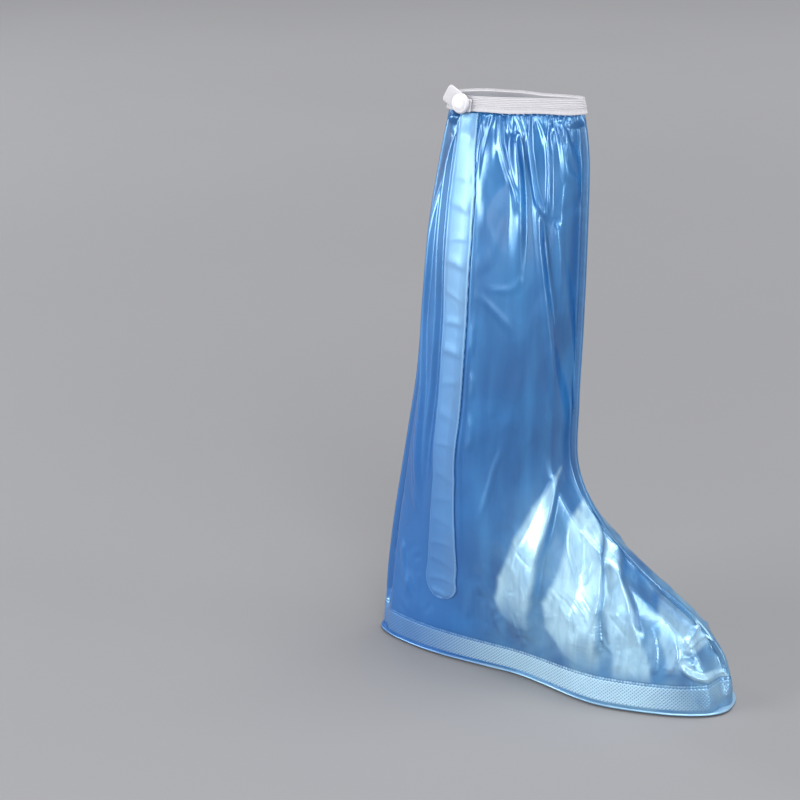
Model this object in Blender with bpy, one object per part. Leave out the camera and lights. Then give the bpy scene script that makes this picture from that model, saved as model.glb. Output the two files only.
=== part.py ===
# Disposable boot cover: a tall film boot with a textured foot border, a welded sole,
# an elastic top band with a snap tab, and a long closing flap on its inner side.
# Units are metres. Toe towards -Y, heel towards +Y, inner side towards -X, +Z up.
# The origin is on the floor under the centre of the sole.

import math

import bpy
import bmesh
from mathutils import Vector

# Overall sizes
SOLE_LENGTH = 0.280
FOOT_WIDTH = 0.096
TOP_HEIGHT = 0.420

# Sole
TREAD_DEPTH = 0.0016
TREAD_INSET = 0.004
RIM_THICKNESS = 0.0014
RIM_REACH = 0.003
SOLE_COLUMNS = 56

# Film, its foot border and its welded seams
FILM_WALL = 0.001
BORDER_HEIGHT = 0.024
BORDER_WALL = 0.0012
SEAM_WIDTH = 0.005
SEAM_WALL = 0.001
GAP = 0.0003

# Closing flap
FLAP_WALL = 0.001
FLAP_FOOT_WIDTH = 0.020
FLAP_TOP_WIDTH = 0.016
FLAP_FOOT_HEIGHT = 0.050
FLAP_COLUMNS = 4
FLAP_ROUNDING = (0.0, 20.0, 43.0, 66.0, 90.0)
FLAP_TIP_SHARE = 0.12

# Elastic band
BAND_HEIGHT = 0.0108
BAND_WALL = 0.0014
BAND_COLUMNS = 54
RIB_COUNT = 4
RIB_PITCH = 0.0016
RIB_RISE = 0.0004
FILM_TUCK = 0.005
BAND_SEAT = 0.0005

# Snap tab and snap button
SNAP_TURN = math.radians(44)
SNAP_PLACE = 0.6
SNAP_DIAMETER = 0.0138
SNAP_HEIGHT = 0.0026
SNAP_RIM = 0.0009
STEM_DIAMETER = 0.005
SNAP_SIDES = 24
SNAP_CROWN_SHARE = 0.55
SNAP_SHOULDER_SHARE = 0.86
SNAP_SHOULDER_DROP = 0.2
TAB_WALL = 0.001
TAB_WIDTH = 0.0126
TAB_REACH = 0.0145
TAB_ROOT = 0.0076
TAB_LIFT = math.radians(24)
TAB_SPREAD = 60
TAB_UPPER_BEND = 0.6
TAB_LOWER_BEND = 0.2
TAB_LOWER_DROP = 1.1

# Folds of the film
FOLD_DEPTH = 0.005
GATHER_DEPTH = 0.0027
GATHER_LENGTH = 0.060
GATHER_PITCH = math.radians(14.5)
SHORT_GATHER_SHARE = 0.5
FOLD_TOP_FADE = 0.25
FOLD_FOOT_FADE = 0.3

# Lengths over which the folds come to rest beside the band, the border, and seams or flap
BAND_CALM = 0.008
BORDER_CALM = 0.012
SEAM_CALM = 0.006

# Grid of the film panels
PANEL_COLUMNS = 33
PANEL_ROWS = 26
PANEL_SPLIT_ROW = 8
ROW_CROWDING = 1.4

# Cross-sections of the skin from its foot to its top. Reaches are shares of SOLE_LENGTH
# from the heel end, heights are shares of the skin's height, half widths are shares of
# FOOT_WIDTH. Each section is a tilted loop that leans from its heel height to its toe height.
SECTION_COLUMNS = (
    "name", "heel_reach", "toe_reach", "heel_height", "toe_height",
    "inner_heel", "inner_waist", "inner_ball",
    "outer_heel", "outer_waist", "outer_ball", "bluntness",
)
SECTIONS = (
    ("sole", 0.000, 1.000, 0.000, 0.000, 0.350, 0.315, 0.500, 0.395, 0.440, 0.495, 0.80),
    ("border", 0.016, 0.977, 0.054, 0.054, 0.345, 0.330, 0.460, 0.385, 0.425, 0.460, 0.85),
    ("toe", 0.021, 0.949, 0.110, 0.098, 0.345, 0.345, 0.435, 0.375, 0.405, 0.435, 0.90),
    ("vamp", 0.030, 0.874, 0.167, 0.150, 0.350, 0.360, 0.410, 0.365, 0.390, 0.410, 0.95),
    ("instep", 0.043, 0.742, 0.234, 0.211, 0.360, 0.380, 0.385, 0.360, 0.380, 0.385, 1.00),
    ("bend", 0.061, 0.626, 0.311, 0.288, 0.365, 0.385, 0.375, 0.365, 0.385, 0.375, 1.00),
    ("ankle", 0.081, 0.556, 0.397, 0.378, 0.375, 0.390, 0.375, 0.375, 0.390, 0.375, 1.00),
    ("calf_low", 0.105, 0.549, 0.503, 0.493, 0.380, 0.395, 0.380, 0.380, 0.395, 0.380, 1.00),
    ("calf", 0.120, 0.552, 0.627, 0.622, 0.375, 0.395, 0.375, 0.375, 0.395, 0.375, 1.00),
    ("calf_top", 0.135, 0.553, 0.762, 0.762, 0.345, 0.370, 0.335, 0.345, 0.370, 0.335, 0.95),
    ("gather", 0.168, 0.550, 0.895, 0.900, 0.250, 0.275, 0.220, 0.300, 0.310, 0.240, 0.85),
    ("band", 0.189, 0.535, 0.964, 0.972, 0.125, 0.120, 0.085, 0.205, 0.180, 0.105, 0.70),
    ("top", 0.195, 0.524, 0.990, 1.000, 0.105, 0.095, 0.065, 0.190, 0.155, 0.080, 0.65),
)

# Where the heel, waist and ball half widths hold, as shares of a section's length
WIDTH_STATIONS = (0.15, 0.42, 0.72)

# Centre line of the closing flap on the inner side: rise along the skin, turn in degrees
FLAP_LINE_COLUMNS = ("rise", "turn")
FLAP_LINE = (
    (0.130, 55.0),
    (0.240, 56.0),
    (0.377, 63.0),
    (0.550, 69.0),
    (0.675, 69.0),
    (0.795, 63.5),
    (0.900, 50.5),
    (0.980, 44.0),
)

# Long folds: a ridge, or a groove where the depth is negative, runs through three places
# on the skin. Turns are degrees from the heel: 0 to 180 on the inner side, and past 180
# on the outer side. Depth is a share of FOLD_DEPTH, width is in degrees.
FOLD_COLUMNS = (
    "name", "top_rise", "top_turn", "mid_rise", "mid_turn", "low_rise", "low_turn",
    "depth", "width",
)
FOLDS = (
    ("heel_stripe", 0.900, 12, 0.740, 22, 0.500, 30, 0.60, 12),
    ("heel_hollow", 0.600, 36, 0.450, 30, 0.250, 26, -0.35, 12),
    ("flap_front", 0.880, 84, 0.720, 90, 0.520, 92, 0.45, 12),
    ("shaft_ridge", 0.900, 101, 0.790, 112, 0.640, 118, 0.80, 13),
    ("shaft_hollow", 0.880, 120, 0.760, 128, 0.600, 134, -0.55, 11),
    ("front_ridge", 0.890, 133, 0.740, 140, 0.560, 160, 0.55, 12),
    ("fan_one", 0.500, 145, 0.340, 96, 0.110, 80, 0.70, 13),
    ("fan_two", 0.490, 153, 0.350, 115, 0.105, 90, 0.90, 12),
    ("fan_three", 0.460, 158, 0.345, 133, 0.110, 106, 0.95, 11),
    ("fan_four", 0.440, 160, 0.340, 146, 0.120, 120, 0.80, 10),
    ("fan_five", 0.430, 163, 0.330, 160, 0.150, 140, 0.65, 9),
    ("vamp_groove", 0.330, 168, 0.270, 158, 0.160, 133, -0.60, 10),
    ("toe_crease", 0.246, 178, 0.225, 163, 0.150, 148, 0.60, 10),
    ("toe_hollow", 0.205, 172, 0.170, 166, 0.120, 164, -0.80, 13),
    ("toe_fold", 0.180, 146, 0.130, 152, 0.100, 172, 0.50, 9),
    ("heel_crease", 0.200, 20, 0.150, 24, 0.095, 30, 0.35, 9),
    ("outer_heel", 0.900, 345, 0.700, 338, 0.480, 332, 0.55, 13),
    ("outer_shaft", 0.890, 300, 0.720, 290, 0.540, 284, 0.75, 14),
    ("outer_hollow", 0.860, 270, 0.680, 262, 0.500, 254, -0.55, 13),
    ("outer_front", 0.890, 236, 0.740, 226, 0.580, 206, 0.60, 12),
    ("outer_fan_one", 0.500, 214, 0.340, 262, 0.120, 284, 0.65, 13),
    ("outer_fan_two", 0.480, 206, 0.350, 243, 0.110, 266, 0.85, 12),
    ("outer_fan_three", 0.450, 201, 0.345, 224, 0.110, 248, 0.85, 11),
    ("outer_fan_four", 0.430, 198, 0.330, 208, 0.130, 230, 0.65, 10),
    ("outer_toe", 0.240, 186, 0.200, 198, 0.120, 212, 0.55, 10),
    ("outer_toe_hollow", 0.190, 190, 0.150, 196, 0.110, 200, -0.60, 11),
)

FULL_TURN = 2 * math.pi
FRONT_TURN = math.pi
SOLE_TOP = TREAD_DEPTH + RIM_THICKNESS
SKIN_FOOT = SOLE_TOP + GAP

FILM_COLOUR = (0.12, 0.32, 0.62)
BORDER_COLOUR = (0.16, 0.38, 0.68)
SOLE_COLOUR = (0.42, 0.60, 0.80)
WHITE_COLOUR = (0.85, 0.85, 0.88)


# Scene and materials

def clear_scene():
    for thing in list(bpy.data.objects):
        bpy.data.objects.remove(thing, do_unlink=True)


def make_material(name, colour, roughness, metallic):
    material = bpy.data.materials.new(name)
    material.use_nodes = True
    shader = material.node_tree.nodes["Principled BSDF"]
    shader.inputs["Base Color"].default_value = (*colour, 1.0)
    shader.inputs["Roughness"].default_value = roughness
    shader.inputs["Metallic"].default_value = metallic
    return material


def add_object(name, mesh, material):
    mesh.materials.append(material)
    thing = bpy.data.objects.new(name, mesh)
    bpy.context.scene.collection.objects.link(thing)
    return thing


# Small curves

def smooth_step(value):
    value = min(max(value, 0.0), 1.0)
    return value * value * (3 - 2 * value)


def blend(first, second, share):
    return first + (second - first) * share


def curve_between(before, first, second, after, share):
    # A smooth curve through first and second that leans on their neighbours
    slope_first = (second - before) / 2
    slope_second = (after - first) / 2
    square = share * share
    cube = square * share
    return ((2 * cube - 3 * square + 1) * first + (cube - 2 * square + share) * slope_first
            + (3 * square - 2 * cube) * second + (cube - square) * slope_second)


def parabola_through(rise, points):
    # Value at rise of the parabola through three (rise, value) points
    total = 0.0
    for index, (place, value) in enumerate(points):
        weight = 1.0
        for other, (other_place, _) in enumerate(points):
            if other != index:
                weight *= (rise - other_place) / (place - other_place)
        total += weight * value
    return total


# The skin: one smooth surface that every film piece lies on

def skin_sections():
    # The skin's first section stands inside the sole's flange
    columns = SECTION_COLUMNS[1:]
    rows = [dict(zip(columns, section[1:])) for section in SECTIONS]
    foot = rows[0]
    foot["heel_reach"] += RIM_REACH / SOLE_LENGTH
    foot["toe_reach"] -= RIM_REACH / SOLE_LENGTH
    for side in ("inner", "outer"):
        for place in ("heel", "waist", "ball"):
            foot[side + "_" + place] -= RIM_REACH / FOOT_WIDTH
    return rows


SKIN = skin_sections()
LAST_SECTION = len(SKIN) - 1


def section_at(rise):
    place = min(max(rise, 0.0), 1.0) * LAST_SECTION
    index = min(int(place), LAST_SECTION - 1)
    share = place - index
    first = SKIN[index]
    second = SKIN[index + 1]
    values = {}
    for key in SECTION_COLUMNS[1:]:
        start = first[key]
        end = second[key]
        before = SKIN[index - 1][key] if index > 0 else 2 * start - end
        after = SKIN[index + 2][key] if index + 2 <= LAST_SECTION else 2 * end - start
        values[key] = curve_between(before, start, end, after, share)
    return values


def half_width(section, side, share):
    heel_place, waist_place, ball_place = WIDTH_STATIONS
    heel = section[side + "_heel"]
    waist = section[side + "_waist"]
    ball = section[side + "_ball"]
    if share < waist_place:
        return blend(heel, waist, smooth_step((share - heel_place) / (waist_place - heel_place)))
    return blend(waist, ball, smooth_step((share - waist_place) / (ball_place - waist_place)))


def loop_point(section, turn):
    share = (1 - math.cos(turn)) / 2
    reach = blend(section["heel_reach"], section["toe_reach"], share)
    height = blend(section["heel_height"], section["toe_height"], share)
    sideways = math.sin(turn)
    side = "inner" if sideways >= 0 else "outer"
    width = half_width(section, side, share) * abs(sideways) ** section["bluntness"]
    x = -math.copysign(width, sideways) * FOOT_WIDTH
    y = (0.5 - reach) * SOLE_LENGTH
    z = SKIN_FOOT + height * (TOP_HEIGHT - SKIN_FOOT)
    return Vector((x, y, z))


def skin_point(rise, turn):
    return loop_point(section_at(rise), turn)


def skin_normal(rise, turn):
    step = 0.004
    low = min(max(rise - step, 0.0), 1.0 - 2 * step)
    across = skin_point(rise, turn + step) - skin_point(rise, turn - step)
    along = skin_point(low + 2 * step, turn) - skin_point(low, turn)
    return across.cross(along).normalized()


def turn_length(rise, turn):
    # Length on the skin of one radian of turn
    step = 0.01
    return (skin_point(rise, turn + step) - skin_point(rise, turn - step)).length / (2 * step)


def rise_at_height(turn, height):
    low = 0.0
    high = 1.0
    for _ in range(30):
        middle = (low + high) / 2
        if skin_point(middle, turn).z < height:
            low = middle
        else:
            high = middle
    return (low + high) / 2


def band_foot_height(turn):
    return skin_point(1.0, turn).z - BAND_HEIGHT


def film_rise(share, turn):
    # Share 0 is the border's upper edge and share 1 the film's hidden edge behind the band
    low = rise_at_height(turn, BORDER_HEIGHT + GAP)
    high = rise_at_height(turn, band_foot_height(turn) + FILM_TUCK)
    return blend(low, high, share)


# Folds

FLAP_PLACES = [dict(zip(FLAP_LINE_COLUMNS, row)) for row in FLAP_LINE]


def flap_turn(rise):
    if rise <= FLAP_PLACES[0]["rise"]:
        return math.radians(FLAP_PLACES[0]["turn"])
    for low, high in zip(FLAP_PLACES, FLAP_PLACES[1:]):
        if rise <= high["rise"]:
            share = smooth_step((rise - low["rise"]) / (high["rise"] - low["rise"]))
            return math.radians(blend(low["turn"], high["turn"], share))
    return math.radians(FLAP_PLACES[-1]["turn"])


def flap_width(rise):
    return blend(FLAP_FOOT_WIDTH, FLAP_TOP_WIDTH, rise)


def turn_distance(turn, other):
    return (turn - other + math.pi) % FULL_TURN - math.pi


def calmness(rise, turn):
    # 0 where the film has to lie flat: under the band, seams, flap and border edge
    point = skin_point(rise, turn)
    length = turn_length(rise, turn)
    band_edge = smooth_step((band_foot_height(turn) - point.z) / BAND_CALM)
    border_edge = smooth_step((point.z - BORDER_HEIGHT) / BORDER_CALM)
    seam_half = SEAM_WIDTH / 2 + FILM_WALL
    front = abs(turn_distance(turn, FRONT_TURN)) * length
    back = abs(turn_distance(turn, 0.0)) * length
    seam = smooth_step((min(front, back) - seam_half) / SEAM_CALM)
    flap = 1.0
    if math.sin(turn) > 0:
        aside = abs(turn - flap_turn(rise)) * length
        flap = smooth_step((aside - flap_width(rise) / 2 - FLAP_WALL) / SEAM_CALM)
    return band_edge * border_edge * seam * flap


def fold_line(fold, rise):
    points = ((fold["top_rise"], fold["top_turn"]), (fold["mid_rise"], fold["mid_turn"]),
              (fold["low_rise"], fold["low_turn"]))
    return math.radians(parabola_through(rise, points))


def long_folds(rise, turn):
    lift = 0.0
    for row in FOLDS:
        fold = dict(zip(FOLD_COLUMNS, row))
        if not fold["low_rise"] < rise < fold["top_rise"]:
            continue
        along = (fold["top_rise"] - rise) / (fold["top_rise"] - fold["low_rise"])
        ends = smooth_step(along / FOLD_TOP_FADE) * smooth_step((1 - along) / FOLD_FOOT_FADE)
        aside = abs(turn_distance(turn, fold_line(fold, rise))) / math.radians(fold["width"])
        if aside < 1:
            lift += fold["depth"] * ends * math.cos(aside * math.pi / 2) ** 2
    return lift * FOLD_DEPTH


def gathers(rise, turn):
    # Short pleats hang from the band and fade out, every second one sooner
    drop = band_foot_height(turn) - skin_point(rise, turn).z
    number = turn / GATHER_PITCH
    wave = math.cos(FULL_TURN * number)
    reach = GATHER_LENGTH
    if round(number) % 2 == 1:
        reach *= SHORT_GATHER_SHARE
    fade = 1 - smooth_step(drop / reach)
    return GATHER_DEPTH * wave * fade


def film_point(rise, turn, offset):
    # A point at offset outside the folded film, measured along the smooth skin's normal
    lift = (long_folds(rise, turn) + gathers(rise, turn)) * calmness(rise, turn)
    below_band = band_foot_height(turn) - skin_point(rise, turn).z
    lift -= BAND_SEAT * (1 - smooth_step(below_band / FILM_TUCK))
    return skin_point(rise, turn) + skin_normal(rise, turn) * (lift + offset)


# Meshes from grids

def finish_mesh(name, builder):
    bmesh.ops.triangulate(builder, faces=builder.faces[:])
    mesh = bpy.data.meshes.new(name)
    builder.to_mesh(mesh)
    builder.free()
    mesh.shade_smooth()
    mesh.set_sharp_from_angle(angle=math.radians(50))
    return mesh


def grid_faces(builder, grid, flip):
    for low, high in zip(grid, grid[1:]):
        for column in range(len(low) - 1):
            corners = [low[column], low[column + 1], high[column + 1], high[column]]
            builder.faces.new(corners[::-1] if flip else corners)


def slab(name, outer, inner):
    # A closed wall between two grids of points with the same rows and columns. Rows run
    # up and columns run towards growing turn, so that the outer faces look outwards.
    builder = bmesh.new()
    outer_grid = [[builder.verts.new(point) for point in row] for row in outer]
    inner_grid = [[builder.verts.new(point) for point in row] for row in inner]
    grid_faces(builder, outer_grid, False)
    grid_faces(builder, inner_grid, True)
    edges = (
        (outer_grid[0], inner_grid[0], True),
        (outer_grid[-1], inner_grid[-1], False),
        ([row[0] for row in outer_grid], [row[0] for row in inner_grid], False),
        ([row[-1] for row in outer_grid], [row[-1] for row in inner_grid], True),
    )
    for outer_edge, inner_edge, flip in edges:
        grid_faces(builder, [outer_edge, inner_edge], flip)
    return finish_mesh(name, builder)


def ring(name, loops):
    # A closed tube whose cross-section is the list of points in each loop
    builder = bmesh.new()
    columns = [[builder.verts.new(point) for point in loop] for loop in loops]
    for first, second in zip(columns, columns[1:] + columns[:1]):
        count = len(first)
        for index in range(count):
            following = (index + 1) % count
            builder.faces.new([first[index], second[index], second[following], first[following]])
    return finish_mesh(name, builder)


def stack(name, loops):
    # A closed solid through a pile of loops, capped at both ends
    builder = bmesh.new()
    levels = [[builder.verts.new(point) for point in loop] for loop in loops]
    for low, high in zip(levels, levels[1:]):
        count = len(low)
        for index in range(count):
            following = (index + 1) % count
            builder.faces.new([low[index], low[following], high[following], high[index]])
    builder.faces.new(levels[0][::-1])
    builder.faces.new(levels[-1])
    return finish_mesh(name, builder)


def even_shares(count):
    return [index / count for index in range(count + 1)]


def row_shares(count):
    # Rows crowd towards the top, where the gathers are
    return [1 - (1 - share) ** ROW_CROWDING for share in even_shares(count)]


# Film pieces

def seam_margin(rise, turn):
    # Half of the gap between two film panels, as a turn
    return GAP / turn_length(rise, turn)


def side_turns(side, count, margin):
    start = 0.0 if side == "inner" else FRONT_TURN
    return [start + blend(margin, math.pi - margin, share) for share in even_shares(count)]


def make_panel(name, side, shares, material):
    outer = []
    inner = []
    for share in shares:
        margin = seam_margin(film_rise(share, math.pi / 2), math.pi / 2)
        turns = side_turns(side, PANEL_COLUMNS, margin)
        places = [(film_rise(share, turn), turn) for turn in turns]
        outer.append([film_point(rise, turn, 0.0) for rise, turn in places])
        inner.append([film_point(rise, turn, -FILM_WALL) for rise, turn in places])
    return add_object(name, slab(name, outer, inner), material)


def make_panels(side, material):
    # The instep and the shaft are two nodes with a hair's gap, each simple enough to collide with
    shares = row_shares(PANEL_ROWS)
    split = shares[PANEL_SPLIT_ROW]
    half_gap = GAP / TOP_HEIGHT / 2
    make_panel(side + "_instep", side, shares[:PANEL_SPLIT_ROW] + [split - half_gap], material)
    make_panel(side + "_shaft", side, [split + half_gap] + shares[PANEL_SPLIT_ROW + 1:], material)


def border_heights():
    return [SKIN_FOOT, blend(SKIN_FOOT, BORDER_HEIGHT, 0.5), BORDER_HEIGHT]


def make_border(side, material):
    outer = []
    inner = []
    for height in border_heights():
        margin = GAP / (FOOT_WIDTH / 2)
        turns = side_turns(side, PANEL_COLUMNS, margin)
        places = [(rise_at_height(turn, height), turn) for turn in turns]
        outer.append([film_point(rise, turn, 0.0) for rise, turn in places])
        walls = [film_point(rise, turn, -BORDER_WALL) for rise, turn in places]
        inner.append([Vector((wall.x, wall.y, height)) for wall in walls])
    name = side + "_border"
    return add_object(name, slab(name, outer, inner), material)


def seam_rises(turn):
    # The seam bends at the same heights as the border and the panels that it covers
    high = rise_under_band(turn, SEAM_WIDTH, SEAM_WALL)
    foot = rise_at_height(turn, SKIN_FOOT + GAP)
    border = [rise_at_height(turn, height) for height in border_heights()[1:]]
    film = [film_rise(share, turn) for share in row_shares(PANEL_ROWS)]
    return [foot] + border + [rise for rise in film if rise < high] + [high]


def make_seam(name, centre_turn, material):
    # A welded strip over the joint of the two panels, from the sole to the band
    outer = []
    inner = []
    for rise in seam_rises(centre_turn):
        half = SEAM_WIDTH / 2 / turn_length(rise, centre_turn)
        turns = [centre_turn - half, centre_turn, centre_turn + half]
        outer.append([film_point(rise, turn, GAP + SEAM_WALL) for turn in turns])
        inner.append([film_point(rise, turn, GAP) for turn in turns])
    return add_object(name, slab(name, outer, inner), material)


def rise_under_band(turn, width, wall):
    # The highest rise at which a strip of this width and wall stays below the band
    half = width / 2 / turn_length(1.0, turn)
    return min(rise_at_height(edge, band_foot_height(edge) - wall - GAP)
               for edge in (turn - half, turn, turn + half))


def flap_rises():
    # Pairs of a rise and the share of the flap's full width there, with a round lower end
    foot_turn = flap_turn(0.0)
    low = rise_at_height(foot_turn, FLAP_FOOT_HEIGHT)
    high = rise_under_band(flap_turn(1.0), FLAP_TOP_WIDTH, FLAP_WALL)
    step = 0.02
    rise_length = (skin_point(low + step, foot_turn) - skin_point(low, foot_turn)).length / step
    end_height = FLAP_FOOT_WIDTH / 2 / rise_length
    rows = []
    for degrees in FLAP_ROUNDING:
        angle = math.radians(degrees)
        fullness = max(math.sin(angle), FLAP_TIP_SHARE)
        rows.append((low + end_height * (1 - math.cos(angle)), fullness))
    start = low + end_height
    for share in row_shares(PANEL_ROWS - 2)[1:]:
        rows.append((blend(start, high, share), 1.0))
    return rows


def make_flap(material):
    outer = []
    inner = []
    for rise, fullness in flap_rises():
        centre = flap_turn(rise)
        half = flap_width(rise) / 2 * fullness / turn_length(rise, centre)
        turns = [blend(centre - half, centre + half, share) for share in even_shares(FLAP_COLUMNS)]
        outer.append([film_point(rise, turn, GAP + FLAP_WALL) for turn in turns])
        inner.append([film_point(rise, turn, GAP) for turn in turns])
    return add_object("closing_flap", slab("closing_flap", outer, inner), material)


# Sole

def outline(inset, height):
    # The flange outline on the floor, moved inwards by inset
    section = dict(zip(SECTION_COLUMNS[1:], SECTIONS[0][1:]))
    step = 0.01
    points = []
    for index in range(SOLE_COLUMNS):
        turn = FULL_TURN * index / SOLE_COLUMNS
        point = loop_point(section, turn)
        ahead = loop_point(section, turn + step) - loop_point(section, turn - step)
        outward = Vector((-ahead.y, ahead.x, 0)).normalized()
        if outward.dot(point) < 0:
            outward.negate()
        place = point - outward * inset
        points.append(Vector((place.x, place.y, height)))
    return points


def make_sole(material):
    loops = [
        outline(TREAD_INSET, 0.0),
        outline(TREAD_INSET, TREAD_DEPTH),
        outline(0.0, TREAD_DEPTH),
        outline(0.0, SOLE_TOP),
    ]
    return add_object("sole", stack("sole", loops), material)


# Elastic band

def band_profile():
    # Height above the band's foot and offset from the skin, up the ribbed face and down inside
    base = GAP + BAND_WALL
    points = [(0.0, base)]
    first_rib = BAND_HEIGHT - RIB_COUNT * RIB_PITCH
    for index in range(RIB_COUNT):
        start = first_rib + index * RIB_PITCH
        points.append((start, base))
        points.append((start + RIB_PITCH / 2, base + RIB_RISE))
    points.append((BAND_HEIGHT, base))
    points.append((BAND_HEIGHT, GAP))
    points.append((0.0, GAP))
    return points


def band_line(turn):
    # Foot and top of the band's straight inner face, and its level outward direction
    foot = band_foot_height(turn)
    foot_rise = rise_at_height(turn, foot)
    outward = skin_normal(foot_rise, turn)
    outward.z = 0.0
    return skin_point(foot_rise, turn), skin_point(1.0, turn), outward.normalized()


def band_loop(turn):
    foot, top, outward = band_line(turn)
    return [foot.lerp(top, height / BAND_HEIGHT) + outward * offset
            for height, offset in band_profile()]


def make_band(material):
    loops = [band_loop(FULL_TURN * index / BAND_COLUMNS) for index in range(BAND_COLUMNS)]
    return add_object("elastic_band", ring("elastic_band", loops), material)


# Snap tab and snap button

def snap_frame():
    # Centre on the band's outer face, with outward, heelward and upward directions
    foot, top, outward = band_line(SNAP_TURN)
    upward = (top - foot).normalized()
    heelward = upward.cross(outward).normalized()
    if heelward.y < 0:
        heelward.negate()
    outward = heelward.cross(upward)
    if outward.dot(foot) < 0:
        outward.negate()
    centre = foot.lerp(top, SNAP_PLACE)
    # The strap rests on whatever part of the band stands out most beneath it
    stand = 0.0
    for degree in range(-TAB_SPREAD, TAB_SPREAD + 1, 2):
        for point in band_loop(SNAP_TURN + math.radians(degree)):
            if -TAB_ROOT - GAP < (point - centre).dot(heelward) < TAB_REACH:
                stand = max(stand, (point - centre).dot(outward))
    return centre + outward * stand, outward, heelward, upward


def tab_outline():
    # The strap lies along the band at its root and lifts towards its free end
    ahead = Vector((math.cos(TAB_LIFT), math.sin(TAB_LIFT)))
    aside = Vector((-math.sin(TAB_LIFT), math.cos(TAB_LIFT)))
    end = ahead * TAB_REACH
    half = TAB_WIDTH / 2
    root_half = BAND_HEIGHT / 2 - GAP
    upper_end = end + aside * half
    lower_end = end - aside * half
    upper_bend = Vector((-TAB_ROOT * TAB_UPPER_BEND, root_half))
    lower_bend = Vector((TAB_ROOT * TAB_LOWER_BEND, -root_half * TAB_LOWER_DROP))
    return [
        Vector((-TAB_ROOT, -root_half)), lower_bend, lower_end, upper_end, upper_bend,
        Vector((-TAB_ROOT, root_half)),
    ]


def place_on_snap(frame, sideways, up, out):
    centre, outward, heelward, upward = frame
    return centre + heelward * sideways + upward * up + outward * out


def make_tab(frame, material):
    corners = tab_outline()
    loops = []
    for out in (GAP + TAB_WALL, GAP):
        loops.append([place_on_snap(frame, corner.x, corner.y, out) for corner in corners])
    tab = add_object("band_tab", stack("band_tab", loops), material)
    hole_radius = STEM_DIAMETER / 2 + GAP
    hole_profile = [(hole_radius, -TAB_WALL), (hole_radius, 3 * TAB_WALL)]
    cutter = make_disc("tab_hole", frame, hole_profile, material)
    cutter.hide_render = True
    cutter.display_type = "WIRE"
    hole = tab.modifiers.new("hole", "BOOLEAN")
    hole.operation = "DIFFERENCE"
    hole.solver = "EXACT"
    hole.object = cutter
    return tab


def make_disc(name, frame, profile, material):
    # A turned piece on the snap's axis from (radius, out) pairs
    loops = []
    for radius, out in profile:
        loop = []
        for index in range(SNAP_SIDES):
            angle = -FULL_TURN * index / SNAP_SIDES
            loop.append(place_on_snap(frame, radius * math.cos(angle), radius * math.sin(angle), out))
        loops.append(loop)
    return add_object(name, stack(name, loops), material)


def make_snap(frame, material):
    stem = STEM_DIAMETER / 2
    radius = SNAP_DIAMETER / 2
    seat = 2 * GAP + TAB_WALL
    crown = seat + SNAP_HEIGHT
    profile = [
        (stem, GAP), (stem, seat), (radius - SNAP_RIM / 2, seat), (radius, seat + SNAP_RIM / 2),
        (radius, seat + SNAP_RIM),
        (radius * SNAP_SHOULDER_SHARE, crown - SNAP_HEIGHT * SNAP_SHOULDER_DROP),
        (radius * SNAP_CROWN_SHARE, crown),
    ]
    return make_disc("snap_button", frame, profile, material)


def main():
    clear_scene()
    film = make_material("film", FILM_COLOUR, 0.25, 0.3)
    border = make_material("border", BORDER_COLOUR, 0.35, 0.2)
    sole = make_material("sole", SOLE_COLOUR, 0.45, 0.0)
    elastic = make_material("elastic", WHITE_COLOUR, 0.8, 0.0)
    button = make_material("button", WHITE_COLOUR, 0.3, 0.0)
    for side in ("inner", "outer"):
        make_panels(side, film)
        make_border(side, border)
    make_seam("front_seam", FRONT_TURN, film)
    make_seam("back_seam", 0.0, film)
    make_flap(film)
    make_sole(sole)
    make_band(elastic)
    frame = snap_frame()
    make_tab(frame, elastic)
    make_snap(frame, button)


main()
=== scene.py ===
# Boot cover: a folded pearly film shell with a lattice border, a welded sole, a closing flap,
# a ribbed elastic band and a snap tab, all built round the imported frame.
# Metres throughout. Toe towards -Y, heel towards +Y, inner side towards -X.

import math
import bpy
import numpy as np
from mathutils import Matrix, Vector


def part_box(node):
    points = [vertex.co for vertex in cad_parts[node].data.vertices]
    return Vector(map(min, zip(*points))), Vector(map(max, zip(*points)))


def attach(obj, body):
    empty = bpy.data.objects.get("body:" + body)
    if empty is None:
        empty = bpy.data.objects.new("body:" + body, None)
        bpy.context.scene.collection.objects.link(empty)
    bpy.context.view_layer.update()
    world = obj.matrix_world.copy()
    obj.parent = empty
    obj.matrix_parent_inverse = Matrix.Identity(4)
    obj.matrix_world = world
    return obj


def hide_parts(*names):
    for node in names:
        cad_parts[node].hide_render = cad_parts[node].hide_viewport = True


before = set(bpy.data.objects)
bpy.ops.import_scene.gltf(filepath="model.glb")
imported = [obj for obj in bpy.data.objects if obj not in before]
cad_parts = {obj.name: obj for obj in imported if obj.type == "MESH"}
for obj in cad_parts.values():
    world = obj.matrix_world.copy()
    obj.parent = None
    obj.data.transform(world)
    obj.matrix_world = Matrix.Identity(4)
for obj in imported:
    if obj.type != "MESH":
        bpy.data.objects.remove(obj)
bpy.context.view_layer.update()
print("frame loaded")

mm = 0.001

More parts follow.
